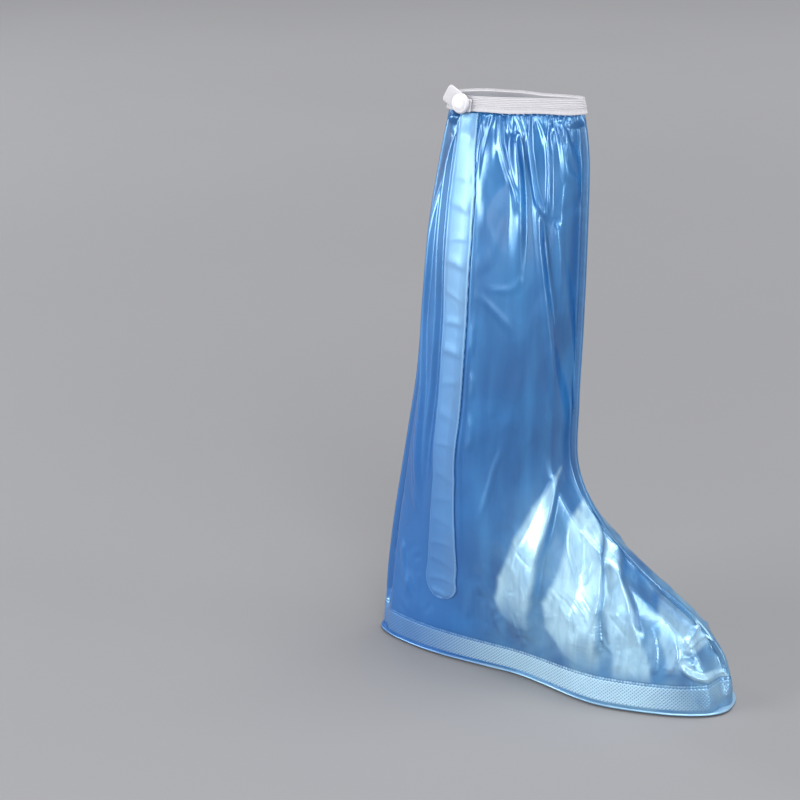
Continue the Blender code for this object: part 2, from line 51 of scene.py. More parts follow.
shell = {
    "soleLength": 0.280,
    "footWidth": 0.096,
    "topHeight": 0.420,
    "rearTop": 0.99,          # share of the top height at the heel
    "skinFoot": 0.0033,
    "rimReach": 0.003,
    "widthStations": (0.15, 0.42, 0.72),
    "borderHeight": 0.024,
    "bandHeight": 0.0092,
    "bandTuck": 0.005,
    "bandSeat": 0.0006,
    "finDepth": 0.0046,       # welded edge that stands out along the front and the back
    "finHalf": 0.0009,
    "finBlend": 0.0075,
    "finRelease": 0.010,      # the fin opens again over this height under the band
    # reach at heel and toe and height at heel and toe, as shares of sole length and of height, then
    # half widths at heel, waist and ball, inner side and outer side, as shares of foot width, and
    # bluntness of the loop
    "sections": (
        (0.000, 1.000, 0.000, 0.000, 0.350, 0.315, 0.500, 0.395, 0.440, 0.495, 0.80),
        (0.016, 0.977, 0.054, 0.054, 0.345, 0.330, 0.460, 0.385, 0.425, 0.460, 0.85),
        (0.021, 0.949, 0.110, 0.098, 0.345, 0.345, 0.435, 0.375, 0.405, 0.435, 0.90),
        (0.030, 0.874, 0.167, 0.150, 0.350, 0.360, 0.410, 0.365, 0.390, 0.410, 0.95),
        (0.043, 0.742, 0.234, 0.211, 0.360, 0.380, 0.385, 0.360, 0.380, 0.385, 1.00),
        (0.061, 0.626, 0.311, 0.288, 0.365, 0.385, 0.375, 0.365, 0.385, 0.375, 1.00),
        (0.081, 0.556, 0.397, 0.378, 0.375, 0.390, 0.375, 0.375, 0.390, 0.375, 1.00),
        (0.105, 0.549, 0.503, 0.493, 0.380, 0.395, 0.380, 0.380, 0.395, 0.380, 1.00),
        (0.120, 0.552, 0.627, 0.622, 0.375, 0.395, 0.375, 0.375, 0.395, 0.375, 1.00),
        (0.135, 0.553, 0.762, 0.762, 0.345, 0.370, 0.335, 0.345, 0.370, 0.335, 0.95),
        (0.168, 0.550, 0.895, 0.900, 0.250, 0.275, 0.220, 0.300, 0.310, 0.240, 0.85),
        (0.189, 0.535, 0.964, 0.972, 0.125, 0.120, 0.085, 0.205, 0.180, 0.105, 0.70),
        (0.195, 0.524, 0.990, 1.000, 0.105, 0.095, 0.065, 0.190, 0.155, 0.080, 0.65),
    ),
}

sections = np.array(shell["sections"])
sections[0, 0] += shell["rimReach"] / shell["soleLength"]
sections[0, 1] -= shell["rimReach"] / shell["soleLength"]
sections[0, 4:10] -= shell["rimReach"] / shell["footWidth"]
sectionCount = len(sections) - 1
sectionTable = np.vstack([2 * sections[0] - sections[1], sections, 2 * sections[-1] - sections[-2]])


def smoothStep(value):
    value = np.clip(value, 0.0, 1.0)
    return value * value * (3 - 2 * value)


def mix(first, second, share):
    return first + (second - first) * share


def curveThrough(table, place):
    # smooth curve through the rows of a table that has one spare row at each end
    index = np.clip(place.astype(int), 0, len(table) - 4)
    share = (place - index)[..., None]
    before, first, second, after = (table[index + step] for step in range(4))
    square = share * share
    cube = square * share
    return ((2 * cube - 3 * square + 1) * first + (cube - 2 * square + share) * (second - before) / 2
            + (3 * square - 2 * cube) * second + (cube - square) * (after - first) / 2)


def loopWidth(row, turn):
    # half width of the loop through a row of the sections, at each turn
    share, sideways = (1 - np.cos(turn)) / 2, np.sin(turn)
    heel, waist, ball = (np.where(sideways >= 0, row[..., 4 + k], row[..., 7 + k]) for k in range(3))
    heelPlace, waistPlace, ballPlace = shell["widthStations"]
    rear = mix(heel, waist, smoothStep((share - heelPlace) / (waistPlace - heelPlace)))
    front = mix(waist, ball, smoothStep((share - waistPlace) / (ballPlace - waistPlace)))
    width = np.where(share < waistPlace, rear, front) * shell["footWidth"]
    return width * np.abs(sideways) ** row[..., 10]


def skinPoint(rise, turn, fin=True):
    # rise 0 at the sole and 1 at the top, turn 0 at the heel and pi at the toe by the inner side
    rise, turn = np.broadcast_arrays(np.asarray(rise, float), np.asarray(turn, float))
    row = curveThrough(sectionTable, np.clip(rise, 0, 1) * sectionCount)
    share = (1 - np.cos(turn)) / 2
    reach = mix(row[..., 0], row[..., 1], share)
    height = mix(row[..., 2], row[..., 3], share)
    width = loopWidth(row, turn)
    z = shell["skinFoot"] + height * (shell["topHeight"] - shell["skinFoot"])
    if fin:
        # the two sides lie flat together in the welded edge and part behind it
        ends = np.minimum(row[..., 1] - reach, reach - row[..., 0]) * shell["soleLength"]
        bandFoot = shell["topHeight"] * mix(shell["rearTop"], 1.0, share) - shell["bandHeight"]
        free = smoothStep((bandFoot - z) / shell["finRelease"])
        free = free * mix(0.55, 1.0, smoothStep((z - 0.3 * shell["borderHeight"]) / 0.030))
        opening = smoothStep((ends - shell["finDepth"] * free) / shell["finBlend"])
        pinched = mix(shell["finHalf"], width, opening)
        width = np.where(width > shell["finHalf"], mix(width, pinched, free), width)
    return np.stack([-np.copysign(width, np.sin(turn)), (0.5 - reach) * shell["soleLength"], z], axis=-1)


def unit(vectors):
    return vectors / np.maximum(np.linalg.norm(vectors, axis=-1, keepdims=True), 1e-12)


def runLength(line):
    # distance along a row of points
    return np.concatenate([[0], np.cumsum(np.linalg.norm(np.diff(line, axis=0), axis=-1))])


def acrossStep(rise, turn, step, fin):
    return skinPoint(rise, turn + step, fin) - skinPoint(rise, turn - step, fin)


def alongStep(rise, turn, step, fin):
    low = np.clip(rise, 0.0, 1.0 - 2 * step)
    return skinPoint(low + 2 * step, turn, fin) - skinPoint(low, turn, fin)


def skinNormal(rise, turn, fin=True):
    step = 0.004
    return unit(np.cross(acrossStep(rise, turn, step, fin), alongStep(rise, turn, step, fin)))


def turnLength(rise, turn):
    # metres of skin for each radian of turn
    step = 0.01
    return np.linalg.norm(acrossStep(rise, turn, step, False), axis=-1) / (2 * step)


def riseLength(rise, turn):
    # metres of skin for a rise of 1
    step = 0.004
    return np.linalg.norm(alongStep(rise, turn, step, False), axis=-1) / (2 * step)


def riseAtHeight(turn, height):
    turn, height = np.broadcast_arrays(np.asarray(turn, float), np.asarray(height, float))
    low = np.zeros_like(turn)
    high = np.ones_like(turn)
    for _ in range(28):
        middle = (low + high) / 2
        under = skinPoint(middle, turn, False)[..., 2] < height
        low = np.where(under, middle, low)
        high = np.where(under, high, middle)
    return (low + high) / 2


def bandFootHeight(turn):
    return skinPoint(1.0, turn, False)[..., 2] - shell["bandHeight"]


# closing flap: its edges are used by the film under it as well
flap = {
    # rise, turn of the edge on the heel side, turn of the edge on the toe side
    "edges": (
        (0.130, 48.4, 62.6), (0.240, 49.6, 64.2), (0.377, 57.4, 72.8), (0.462, 62.4, 78.0),
        (0.550, 62.0, 80.2), (0.675, 61.0, 80.4), (0.754, 57.2, 79.6), (0.800, 52.8, 76.4),
        (0.850, 49.0, 69.0), (0.900, 45.0, 63.5), (0.980, 41.5, 59.5),
    ),
    "footHeight": 0.050,
    "lift": 0.0005,
    "rows": 640,
    "columns": 26,
    "coarse": 2,
    "toothPitch": 0.0019,
    "toothReach": 0.00035,
    "bead": 0.00035,
    "beadPlace": 0.945,       # share of the half width
    "groovePlace": 0.86,
    "grooveDepth": 0.00018,
    # place across from heel side to toe side, height in mm
    "profile": ((-1, 0.50), (-0.93, 0.80), (-0.6, 1.05), (0.35, 1.20), (0.72, 0.80), (0.93, 0.55), (1, 0.50)),
    # rise, lean across the strip in degrees, height in mm, half width in mm
    "wrinkles": (
        (0.872, 8, 0.30, 7.0), (0.815, 4, 0.35, 7.0), (0.788, 10, 0.45, 8.0), (0.757, -12, 0.22, 5.0),
        (0.733, 8, 0.42, 8.0), (0.700, 20, 0.15, 5.0), (0.672, -6, 0.30, 6.0), (0.640, 5, 0.48, 8.0),
        (0.603, -14, 0.15, 6.0), (0.560, 12, 0.20, 8.0), (0.520, -8, 0.12, 5.0), (0.470, 10, 0.16, 8.0),
        (0.425, -12, 0.14, 6.0), (0.380, 6, 0.18, 7.0), (0.330, -8, 0.20, 5.0), (0.285, 12, 0.25, 6.0),
        (0.235, -6, 0.22, 5.0), (0.190, 8, 0.40, 5.0),
    ),
}
flapPlaces = np.array(flap["edges"])


def flapEdges(rise):
    rise = np.asarray(rise, float)
    return tuple(np.radians(np.interp(rise, flapPlaces[:, 0], flapPlaces[:, side])) for side in (1, 2))


def flapTurn(rise):
    heelEdge, toeEdge = flapEdges(rise)
    return (heelEdge + toeEdge) / 2


def flapWidth(rise):
    heelEdge, toeEdge = flapEdges(rise)
    return (toeEdge - heelEdge) * turnLength(rise, (heelEdge + toeEdge) / 2)


# folds: name, depth mm, width mm on the heel side at top and foot, width mm on the toe side at top
# and foot, sharpness of the crest, share of fade at top and foot, then (rise, turn) places from the top
folds = {
    "inner": (
        ("rearStripe", 3.0, 3, 7, 3, 6, 0.4, 0.03, 0.2,
         ((.915, 38), (.87, 31), (.82, 31), (.74, 37.5), (.66, 37), (.567, 43), (.458, 46), (.35, 49))),
        ("rearGroove", -2.8, 4, 6, 4, 5, 0.2, 0.1, 0.3,
         ((.91, 40), (.85, 43), (.80, 46.5), (.75, 51), (.68, 55), (.58, 56), (.46, 56), (.36, 51))),
        ("heelCrease", 0.9, 6, 6, 1.5, 2, 0.8, 0.2, 0.3, ((.51, 37.5), (.43, 42.8), (.36, 48))),
        ("spindle", 1.6, 2.5, 2, 2.5, 2, 0.4, 0.02, 0.4, ((.92, 69), (.887, 72), (.85, 74), (.80, 76.5))),
        ("flapSide", 0.9, 1.6, 2, 1.8, 3, 0.6, 0.05, 0.1,
         ((.90, 60.5), (.86, 67), (.817, 73), (.787, 77), (.74, 80.5), (.667, 82.3), (.56, 82.3),
          (.46, 80.5), (.39, 76.5), (.30, 70))),
        ("shadowFold", 0.8, 3, 3, 2, 3, 0.3, 0.02, 0.5, ((.92, 78.5), (.871, 84), (.82, 89))),
        ("curvedRidge", 2.4, 4, 3, 2, 2.5, 0.7, 0.02, 0.2,
         ((.92, 83), (.871, 87), (.842, 93), (.817, 99.7), (.80, 105), (.783, 108))),
        ("longRidge", 4.6, 5, 11, 3, 5, 0.3, 0.12, 0.35,
         ((.885, 97), (.846, 101.5), (.817, 105.8), (.785, 110), (.75, 112.5), (.69, 114))),
        ("underHook", 0.4, 4, 4, 4, 4, 0.2, 0.1, 0.4, ((.727, 115.5), (.715, 110), (.712, 100), (.714, 90))),
        ("secondRidge", 2.7, 3, 3, 2, 3, 0.6, 0.25, 0.3,
         ((.878, 107), (.85, 110.2), (.808, 117.8), (.792, 123.7), (.780, 131))),
        ("thirdRidge", 2.3, 2, 3, 3, 3, 0.6, 0.25, 0.3,
         ((.878, 122), (.833, 126.8), (.804, 129), (.780, 131.5))),
        ("fourthRidge", 2.4, 3, 4, 2, 3, 0.6, 0.02, 0.4,
         ((.92, 126), (.875, 135.8), (.833, 141.8), (.812, 148), (.787, 155))),
        ("fifthRidge", 1.8, 2, 3, 2, 3, 0.5, 0.02, 0.4, ((.915, 134), (.846, 144.8), (.787, 156.5))),
        ("sixthRidge", 1.0, 2, 3, 2, 3, 0.5, 0.02, 0.4, ((.91, 142.5), (.854, 147), (.808, 157.5))),
        ("longStreak", 2.0, 4, 7, 4, 7, 0.2, 0.15, 0.4,
         ((.815, 117), (.754, 126.8), (.675, 137.2), (.60, 147), (.54, 156))),
        ("blueStreak", -2.2, 4, 6, 4, 6, 0.2, 0.15, 0.4,
         ((.79, 126), (.735, 134), (.675, 143.5), (.60, 152), (.55, 160))),
        ("paleStreak", 1.7, 3, 5, 3, 5, 0.3, 0.15, 0.4,
         ((.783, 136.5), (.754, 141.8), (.675, 150), (.60, 158), (.53, 165))),
        ("softStreakOne", 0.35, 6, 7, 6, 7, 0.1, 0.3, 0.4, ((.83, 73), (.775, 90), (.735, 105))),
        ("softStreakTwo", 0.6, 5, 5, 4, 4, 0.1, 0.3, 0.4, ((.71, 84), (.688, 101), (.668, 113))),
        ("softStreakThree", 1.0, 4, 4, 3, 3, 0.3, 0.2, 0.4, ((.54, 111), (.454, 97.5), (.40, 88))),
        ("softStreakFour", 0.6, 6, 6, 5, 5, 0.2, 0.2, 0.4, ((.64, 120), (.55, 112), (.45, 108))),
        ("bulgeOne", 1.2, 3, 3, 3, 3, 0.1, 0.4, 0.4, ((.69, 84.5), (.66, 85.5), (.635, 85))),
        ("bulgeTwo", 1.1, 3, 3, 3, 3, 0.1, 0.4, 0.4, ((.625, 86), (.605, 87.5), (.585, 87))),
        ("bulgeThree", 1.3, 3.5, 3.5, 4, 4, 0.1, 0.4, 0.3, ((.575, 87), (.545, 89), (.515, 88))),
        ("nick", 0.35, 1, 1, 1, 1, 0.5, 0.3, 0.3, ((.564, 115.5), (.557, 120.5))),
        ("fanOne", 6.4, 3, 30, 3, 8, 1.0, 0.30, 0.12,
         ((.508, 151), (.467, 140.2), (.408, 124.5), (.354, 111), (.271, 97.5), (.212, 92.2), (.095, 89))),
        ("fanOneNick", -0.3, 1.5, 2, 1.5, 2, 0.8, 0.2, 0.2, ((.376, 100.5), (.352, 102.6), (.334, 106))),
        ("fanOneFoot", 1.3, 3, 6, 1.5, 2, 0.9, 0.3, 0.2, ((.235, 80), (.154, 79.5), (.088, 81))),
        ("fanTwo", 6.2, 3, 26, 2, 4, 1.0, 0.35, 0.12,
         ((.462, 162), (.425, 159), (.396, 154.5), (.371, 149.2), (.317, 134), (.258, 121), (.208, 115.5),
          (.100, 110.5))),
        ("fanTwoInside", -0.7, 2, 3, 2, 2, 0.7, 0.2, 0.3,
         ((.421, 144), (.383, 133.5), (.333, 126), (.295, 121.8))),
        ("fanThree", 4.2, 2, 15, 2, 7, 0.85, 0.4, 0.2,
         ((.425, 166.5), (.40, 164), (.367, 158), (.317, 146.2), (.246, 133.5), (.175, 129.5))),
        ("instepOne", 0.8, 2, 4, 2, 4, 0.6, 0.1, 0.3, ((.41, 171), (.36, 165), (.32, 157), (.285, 152))),
        ("instepTwo", 0.6, 2, 3, 2, 3, 0.6, 0.1, 0.3, ((.385, 171), (.333, 169), (.30, 168))),
        ("vampHollow", -2.4, 5, 9, 5, 8, 0.0, 0.25, 0.3, ((.32, 156), (.267, 160), (.215, 158))),
        ("starRidge", 2.6, 4, 4, 2.5, 3, 0.8, 0.2, 0.02, ((.31, 169), (.275, 170.5), (.244, 174))),
        ("starDown", 2.6, 2.5, 5, 2, 5, 0.9, 0.02, 0.3, ((.246, 174), (.222, 163.5), (.185, 150.5))),
        ("starAcross", 1.3, 2, 2.5, 2, 2.5, 0.9, 0.02, 0.3, ((.244, 173), (.222, 172.5), (.19, 171))),
        ("toeLine", 1.5, 2, 2, 2.5, 2.5, 0.8, 0.15, 0.1, ((.188, 153), (.197, 163), (.186, 173))),
        ("toeHollow", -1.3, 7, 7, 7, 7, 0.0, 0.3, 0.3, ((.175, 156), (.165, 164), (.150, 171))),
        ("toeCurl", 1.8, 3, 3, 3, 4, 0.7, 0.2, 0.1, ((.142, 144), (.112, 148), (.092, 157), (.088, 171))),
        ("pleatOne", 0.4, 1.2, 1.2, 1.2, 1.2, 0.5, 0.2, 0.1, ((.122, 166), (.118, 172))),
        ("pleatTwo", 0.4, 1.2, 1.2, 1.2, 1.2, 0.5, 0.2, 0.1, ((.108, 165), (.104, 172))),
        ("heelFootOne", 1.2, 4, 5, 3, 4, 0.4, 0.2, 0.3, ((.30, 33), (.22, 34), (.13, 40))),
        ("heelFootTwo", 0.5, 5, 5, 3, 3, 0.4, 0.3, 0.3, ((.24, 14), (.18, 18), (.11, 17))),
        ("archSoft", 0.9, 6, 6, 5, 5, 0.2, 0.3, 0.3, ((.27, 73), (.19, 69), (.12, 66))),
        ("archOne", 1.3, 2, 5, 2, 3, 0.8, 0.3, 0.3, ((.22, 77), (.16, 78), (.10, 80))),
        ("archTwo", 1.5, 2, 5, 1.5, 2.5, 0.9, 0.2, 0.2, ((.20, 85), (.14, 86), (.09, 88))),
        ("footOne", 1.3, 1.6, 5, 1.6, 2.5, 0.9, 0.3, 0.2, ((.26, 110), (.18, 105), (.10, 104))),
        ("footTwo", 1.4, 1.6, 6, 1.6, 2.5, 0.9, 0.3, 0.2, ((.25, 126), (.17, 121), (.09, 119))),
        ("footThree", 1.2, 1.6, 5, 1.6, 3, 0.9, 0.3, 0.2, ((.24, 141), (.16, 135), (.10, 132))),
        ("footFour", 1.0, 2, 6, 1.6, 3, 0.9, 0.3, 0.2, ((.22, 150), (.15, 143), (.11, 138))),
    ),
    "seed": 11,
    "outerShift": (0.012, 4.0),      # how far a fold of the outer side strays from its twin, rise and degrees
    "skipOutside": ("flapSide", "rearGroove", "bulgeOne", "bulgeTwo", "bulgeThree", "nick"),
}

# gathers that run together: (rise, turn) places from the band down to the point where they meet,
# depth and width in mm; then short ones all round, pitch and length in metres, depth in mm
gathers = {
    "inner": (
        ((.925, 26), (.90, 31.5), (.87, 31.5)), ((.925, 31), (.90, 33), (.87, 32)),
        ((.925, 42), (.89, 37), (.86, 33)), ((.925, 46), (.895, 44), (.87, 43)),
        ((.925, 93.5), (.885, 101.5), (.858, 107.5)), ((.925, 98.5), (.88, 105.8), (.852, 109)),
        ((.925, 105.5), (.88, 107), (.852, 110)),
        ((.925, 109.5), (.885, 119), (.850, 124)), ((.925, 114.5), (.88, 121), (.848, 124.6)),
        ((.925, 124), (.88, 122.8), (.848, 125.2)), ((.925, 119), (.89, 121), (.86, 123.5)),
        ((.925, 57), (.91, 59), (.88, 60)), ((.925, 65), (.905, 69), (.87, 72)),
        ((.925, 74), (.905, 71.5), (.87, 72.5)),
        ((.925, 82), (.90, 83), (.86, 88)), ((.925, 88), (.90, 90), (.868, 95)),
        ((.925, 131), (.89, 134), (.86, 137)), ((.925, 138), (.89, 139), (.86, 141)),
        ((.925, 146), (.89, 148), (.85, 150)), ((.925, 153), (.89, 151.5), (.85, 151)),
        ((.925, 18), (.89, 20), (.86, 23)), ((.925, 14), (.89, 18), (.86, 22)),
    ),
    "depth": 1.9,
    "width": 2.4,
    "shortPitch": 0.0042,
    "shortLength": (0.008, 0.018),
    "shortDepth": (0.7, 1.4),
}

# small random creases: side, ranges of rise and of turn, count, ranges of length, width and depth in
# mm, then lean and its scatter in degrees
creases = {
    "zones": (
        ("inner", (.10, .28), (84, 136), 54, (12, 34), (1.4, 3.2), (0.3, 0.8), 16, 14),
        ("inner", (.10, .24), (136, 168), 9, (8, 18), (2.0, 4.0), (0.2, 0.5), 20, 50),
        ("inner", (.10, .34), (72, 98), 30, (10, 26), (2.0, 4.5), (0.2, 0.7), 16, 18),
        ("inner", (.09, .30), (14, 52), 18, (12, 32), (3.0, 6.0), (0.15, 0.4), 0, 30),
        ("inner", (.32, .80), (84, 160), 26, (25, 70), (4.0, 9.0), (0.2, 0.6), 8, 14),
        ("inner", (.35, .88), (12, 40), 16, (14, 40), (2.5, 5.0), (0.15, 0.4), -5, 20),
        ("outer", (.10, .30), (196, 262), 50, (9, 26), (2.0, 4.5), (0.2, 0.6), -26, 30),
        ("outer", (.09, .32), (262, 350), 50, (10, 28), (2.5, 5.0), (0.2, 0.6), -8, 40),
        ("outer", (.32, .88), (196, 348), 60, (14, 40), (3.0, 7.0), (0.12, 0.45), -8, 30),
    ),
}


def mirrored(fold, generator):
    name, depth, heelTop, heelFoot, toeTop, toeFoot, sharp, fadeTop, fadeFoot, route = fold
    riseShift, turnShift = generator.uniform(-1, 1, 2) * folds["outerShift"]
    places = tuple((rise + riseShift, 360 - turn + turnShift * (1 if 24 < turn < 156 else 0.2))
                   for rise, turn in route)
    scale = generator.uniform(0.55, 0.85) * (0.3 if name.startswith("fan") else 1.0)
    return (name, depth * scale, toeTop, toeFoot, heelTop, heelFoot, sharp, fadeTop, fadeFoot, places)


def allFolds():
    # additive folds and the gathers that merge, each as (depth, widths, sharp, fades, route)
    generator = np.random.default_rng(folds["seed"])
    lasting = {"inner": [fold[1:] for fold in folds["inner"]], "outer": []}
    for fold in folds["inner"]:
        if fold[0] not in folds["skipOutside"]:
            lasting["outer"].append(mirrored(fold, generator)[1:])
    for side, rises, turns, count, lengths, widths, depths, lean, spread in creases["zones"]:
        for _ in range(count):
            rise = generator.uniform(*rises)
            turn = math.radians(generator.uniform(*turns))
            half = generator.uniform(*lengths) * mm / 2
            width = generator.uniform(*widths)
            depth = generator.uniform(*depths) * generator.choice((-1, 1, 1))
            angle = math.radians(lean + generator.normal() * spread)
            riseStep = half * math.cos(angle) / float(riseLength(rise, turn))
            turnStep = math.degrees(half * math.sin(angle) / float(turnLength(rise, turn)))
            bend = generator.normal() * 0.25
            degrees = math.degrees(turn)
            route = ((rise + riseStep, degrees + turnStep),
                     (rise + bend * riseStep, degrees - bend * turnStep),
                     (rise - riseStep, degrees - turnStep))
            sharp = generator.uniform(0.3, 1.0)
            lasting[side].append((depth, width, width, width * 0.8, width * 0.8, sharp, 0.45, 0.45, route))
    merging = {"inner": [], "outer": []}
    depth, width = gathers["depth"], gathers["width"]
    shape = (depth, width, width * 1.3, width, width * 1.3, 0.4, 0.02, 0.5)
    for route in gathers["inner"]:
        outerRoute = tuple((rise, 360 - turn + generator.uniform(-3, 3)) for rise, turn in route)
        merging["inner"].append((*shape, route))
        merging["outer"].append((*shape, outerRoute))
    turn = 0.0
    while turn < 2 * math.pi:
        foot = float(riseAtHeight(turn, bandFootHeight(turn)))
        length = generator.uniform(*gathers["shortLength"]) / float(riseLength(foot, turn))
        drift = math.degrees(generator.normal() * 0.0016 / float(turnLength(foot, turn)))
        start = math.degrees(turn)
        side = "inner" if turn < math.pi else "outer"
        route = ((foot + 0.012, start), (foot - length, start + drift))
        size = generator.uniform(1.3, 2.1)
        deep = generator.uniform(*gathers["shortDepth"])
        merging[side].append((deep, size, size * 1.4, size, size * 1.4, 0.3, 0.02, 0.75, route))
        turn += gathers["shortPitch"] * generator.uniform(0.6, 1.4) / float(turnLength(foot, turn))
    return lasting, merging


lastingFolds, mergingFolds = allFolds()
print("folds laid out:", sum(len(rows) for rows in lastingFolds.values()))


def foldLift(points, normals, fold):
    depth, heelTop, heelFoot, toeTop, toeFoot, sharp, fadeTop, fadeFoot, route = fold
    places = np.array(route, float)
    table = np.vstack([2 * places[0] - places[1], places, 2 * places[-1] - places[-2]])
    steps = 6 * (len(places) - 1) + 1
    places = curveThrough(table, np.linspace(0, len(places) - 1, steps) * (1 - 1e-9))
    line = skinPoint(places[:, 0], np.radians(places[:, 1]), False)
    reach = max(heelTop, heelFoot, toeTop, toeFoot) * mm
    near = np.all((points > line.min(0) - reach) & (points < line.max(0) + reach), axis=-1)
    lift = np.zeros(points.shape[:-1])
    if not near.any():
        return lift
    spot = points[near]
    normal = normals[near]
    nearest = np.full(len(spot), np.inf)
    along = np.zeros(len(spot))
    side = np.zeros(len(spot))
    for index in range(len(line) - 1):
        start = line[index]
        ahead = line[index + 1] - start
        share = np.clip((spot - start) @ ahead / max(ahead @ ahead, 1e-16), 0, 1)
        gap = spot - (start + share[:, None] * ahead)
        distance = np.linalg.norm(gap, axis=-1)
        closer = distance < nearest
        nearest = np.where(closer, distance, nearest)
        along = np.where(closer, (index + share) / (len(line) - 1), along)
        side = np.where(closer, np.einsum("ij,ij->i", np.cross(ahead, gap), normal), side)
    heelWidth = mix(heelTop, heelFoot, along)
    toeWidth = mix(toeTop, toeFoot, along)
    blendSide = smoothStep(side / (np.abs(side).max() + 1e-12) * 40 + 0.5)
    across = np.minimum(nearest / (mix(heelWidth, toeWidth, blendSide) * mm), 1.0)
    rounded = (1 + np.cos(np.pi * across)) / 2
    crest = (1 - across) * smoothStep((1 - across) * 6)
    ends = smoothStep(along / max(fadeTop, 1e-3)) * smoothStep((1 - along) / max(fadeFoot, 1e-3))
    lift[near] = depth * mm * mix(rounded, crest, sharp) * ends
    return lift


def calmness(rise, turn, points):
    # 0 where the film lies flat: by the band, the fins, under the flap and into the border
    length = turnLength(rise, turn)
    bandEdge = smoothStep((bandFootHeight(turn) - points[..., 2]) / 0.0018)
    borderEdge = mix(0.12, 1.0, smoothStep((points[..., 2] - 0.85 * shell["borderHeight"]) / 0.010))
    front = np.abs(turn - math.pi) * length
    back = np.minimum(np.abs(turn), np.abs(2 * math.pi - turn)) * length
    instep = smoothStep((points[..., 2] - 0.075) / 0.03)
    seam = smoothStep((np.minimum(front, back) - 0.6 * shell["finDepth"]) / mix(0.006, 0.016, instep))
    aside = np.abs(turn - flapTurn(rise)) * length
    covered = smoothStep((aside - flapWidth(rise) / 2 - 0.0002) / 0.0035)
    covered = np.where(np.sin(turn) > 0, mix(0.15, 1.0, covered), 1.0)
    belowFlap = smoothStep((flap["footHeight"] - 0.004 - points[..., 2]) / 0.006)
    return bandEdge * borderEdge * seam * np.maximum(covered, belowFlap)


def filmLift(rise, turn):
    points = skinPoint(rise, turn, False)
    normals = skinNormal(rise, turn, False)
    lift = np.zeros(points.shape[:-1])
    merged = np.zeros(points.shape[:-1])
    for side in ("inner", "outer"):
        if side == "inner" and turn.min() > math.pi * 1.03 or side == "outer" and turn.max() < math.pi * 0.97:
            continue
        for fold in lastingFolds[side]:
            lift += foldLift(points, normals, fold)
        for fold in mergingFolds[side]:
            merged = np.maximum(merged, foldLift(points, normals, fold))
    lift = (lift + merged) * calmness(rise, turn, points)
    below = bandFootHeight(turn) - points[..., 2]
    return lift - shell["bandSeat"] * (1 - smoothStep(below / shell["bandTuck"]))


def filmPoint(rise, turn, offset, lift):
    return skinPoint(rise, turn) + skinNormal(rise, turn) * (lift + offset)[..., None]


# broad facets of the instep that get a painted highlight: strength, rise where it has faded out, rise where
# the fade begins, then (rise, turn) places round each
facets = {
    "inner": (
        (1.0, .13, .27, ((.504, 150), (.467, 140), (.408, 124.5), (.354, 111), (.271, 97.5), (.212, 92),
         (.17, 91), (.155, 85), (.185, 80), (.225, 79.5), (.283, 84.8), (.379, 102.8), (.446, 123))),
        (1.0, .06, .19, ((.456, 161), (.425, 143), (.354, 123), (.287, 106), (.25, 99), (.18, 96),
         (.11, 101), (.07, 113), (.163, 113), (.208, 116), (.258, 121), (.371, 148), (.396, 154),
         (.425, 158))),
        (0.8, .05, .12, ((.415, 165), (.371, 152), (.317, 136), (.267, 125), (.19, 119), (.07, 117),
         (.07, 131), (.183, 131), (.246, 134.5), (.33, 149), (.40, 163))),
        (0.6, .08, .16, ((.30, 164), (.26, 150), (.21, 141), (.11, 137), (.11, 144), (.17, 150), (.22, 160),
         (.25, 170))),
        (0.9, .15, .20, ((.246, 178), (.225, 164), (.188, 151.5), (.172, 150), (.175, 160), (.186, 168),
         (.196, 178))),
        (0.9, .05, .08, ((.152, 143.5), (.118, 145.5), (.096, 150), (.082, 158), (.068, 173), (.082, 175),
         (.102, 161), (.125, 151.5), (.157, 149))),
    ),
    "soft": 1.5,
    "scale": (1.35, 290.0),      # mm per degree of turn and per unit of rise
    "outerShare": 0.3,
}


def facetHighlightShare(rise, turn):
    # 1 on the broad pearly facets that carry the painted highlight and 0 away from them
    across, along = facets["scale"]
    degrees = np.degrees(turn)
    degrees = np.where(degrees > 180, 360 - degrees, degrees)
    spot = np.stack([degrees * across, rise * along], -1)
    share = np.zeros(rise.shape)
    for strength, gone, whole, outline in facets["inner"]:
        corners = np.array([(place * across, height * along) for height, place in outline])
        following = np.roll(corners, -1, axis=0)
        nearest = np.full(rise.shape, np.inf)
        inside = np.zeros(rise.shape, bool)
        for start, end in zip(corners, following):
            ahead = end - start
            reach = np.clip((spot - start) @ ahead / (ahead @ ahead), 0, 1)
            nearest = np.minimum(nearest, np.linalg.norm(spot - start - reach[..., None] * ahead, axis=-1))
            crossing = (start[1] > spot[..., 1]) != (end[1] > spot[..., 1])
            slant = (end[0] - start[0]) * (spot[..., 1] - start[1]) / (end[1] - start[1] + 1e-12) + start[0]
            inside ^= crossing & (spot[..., 0] < slant)
        signed = np.where(inside, nearest, -nearest)
        edge = smoothStep(0.5 + signed / (2 * facets["soft"]))
        share = np.maximum(share, strength * edge * smoothStep((rise - gone) / (whole - gone)))
    return share * np.where(turn > math.pi, facets["outerShare"], 1.0)


# meshes

def addObject(name, data):
    thing = bpy.data.objects.new(name, data)
    bpy.context.scene.collection.objects.link(thing)
    return thing


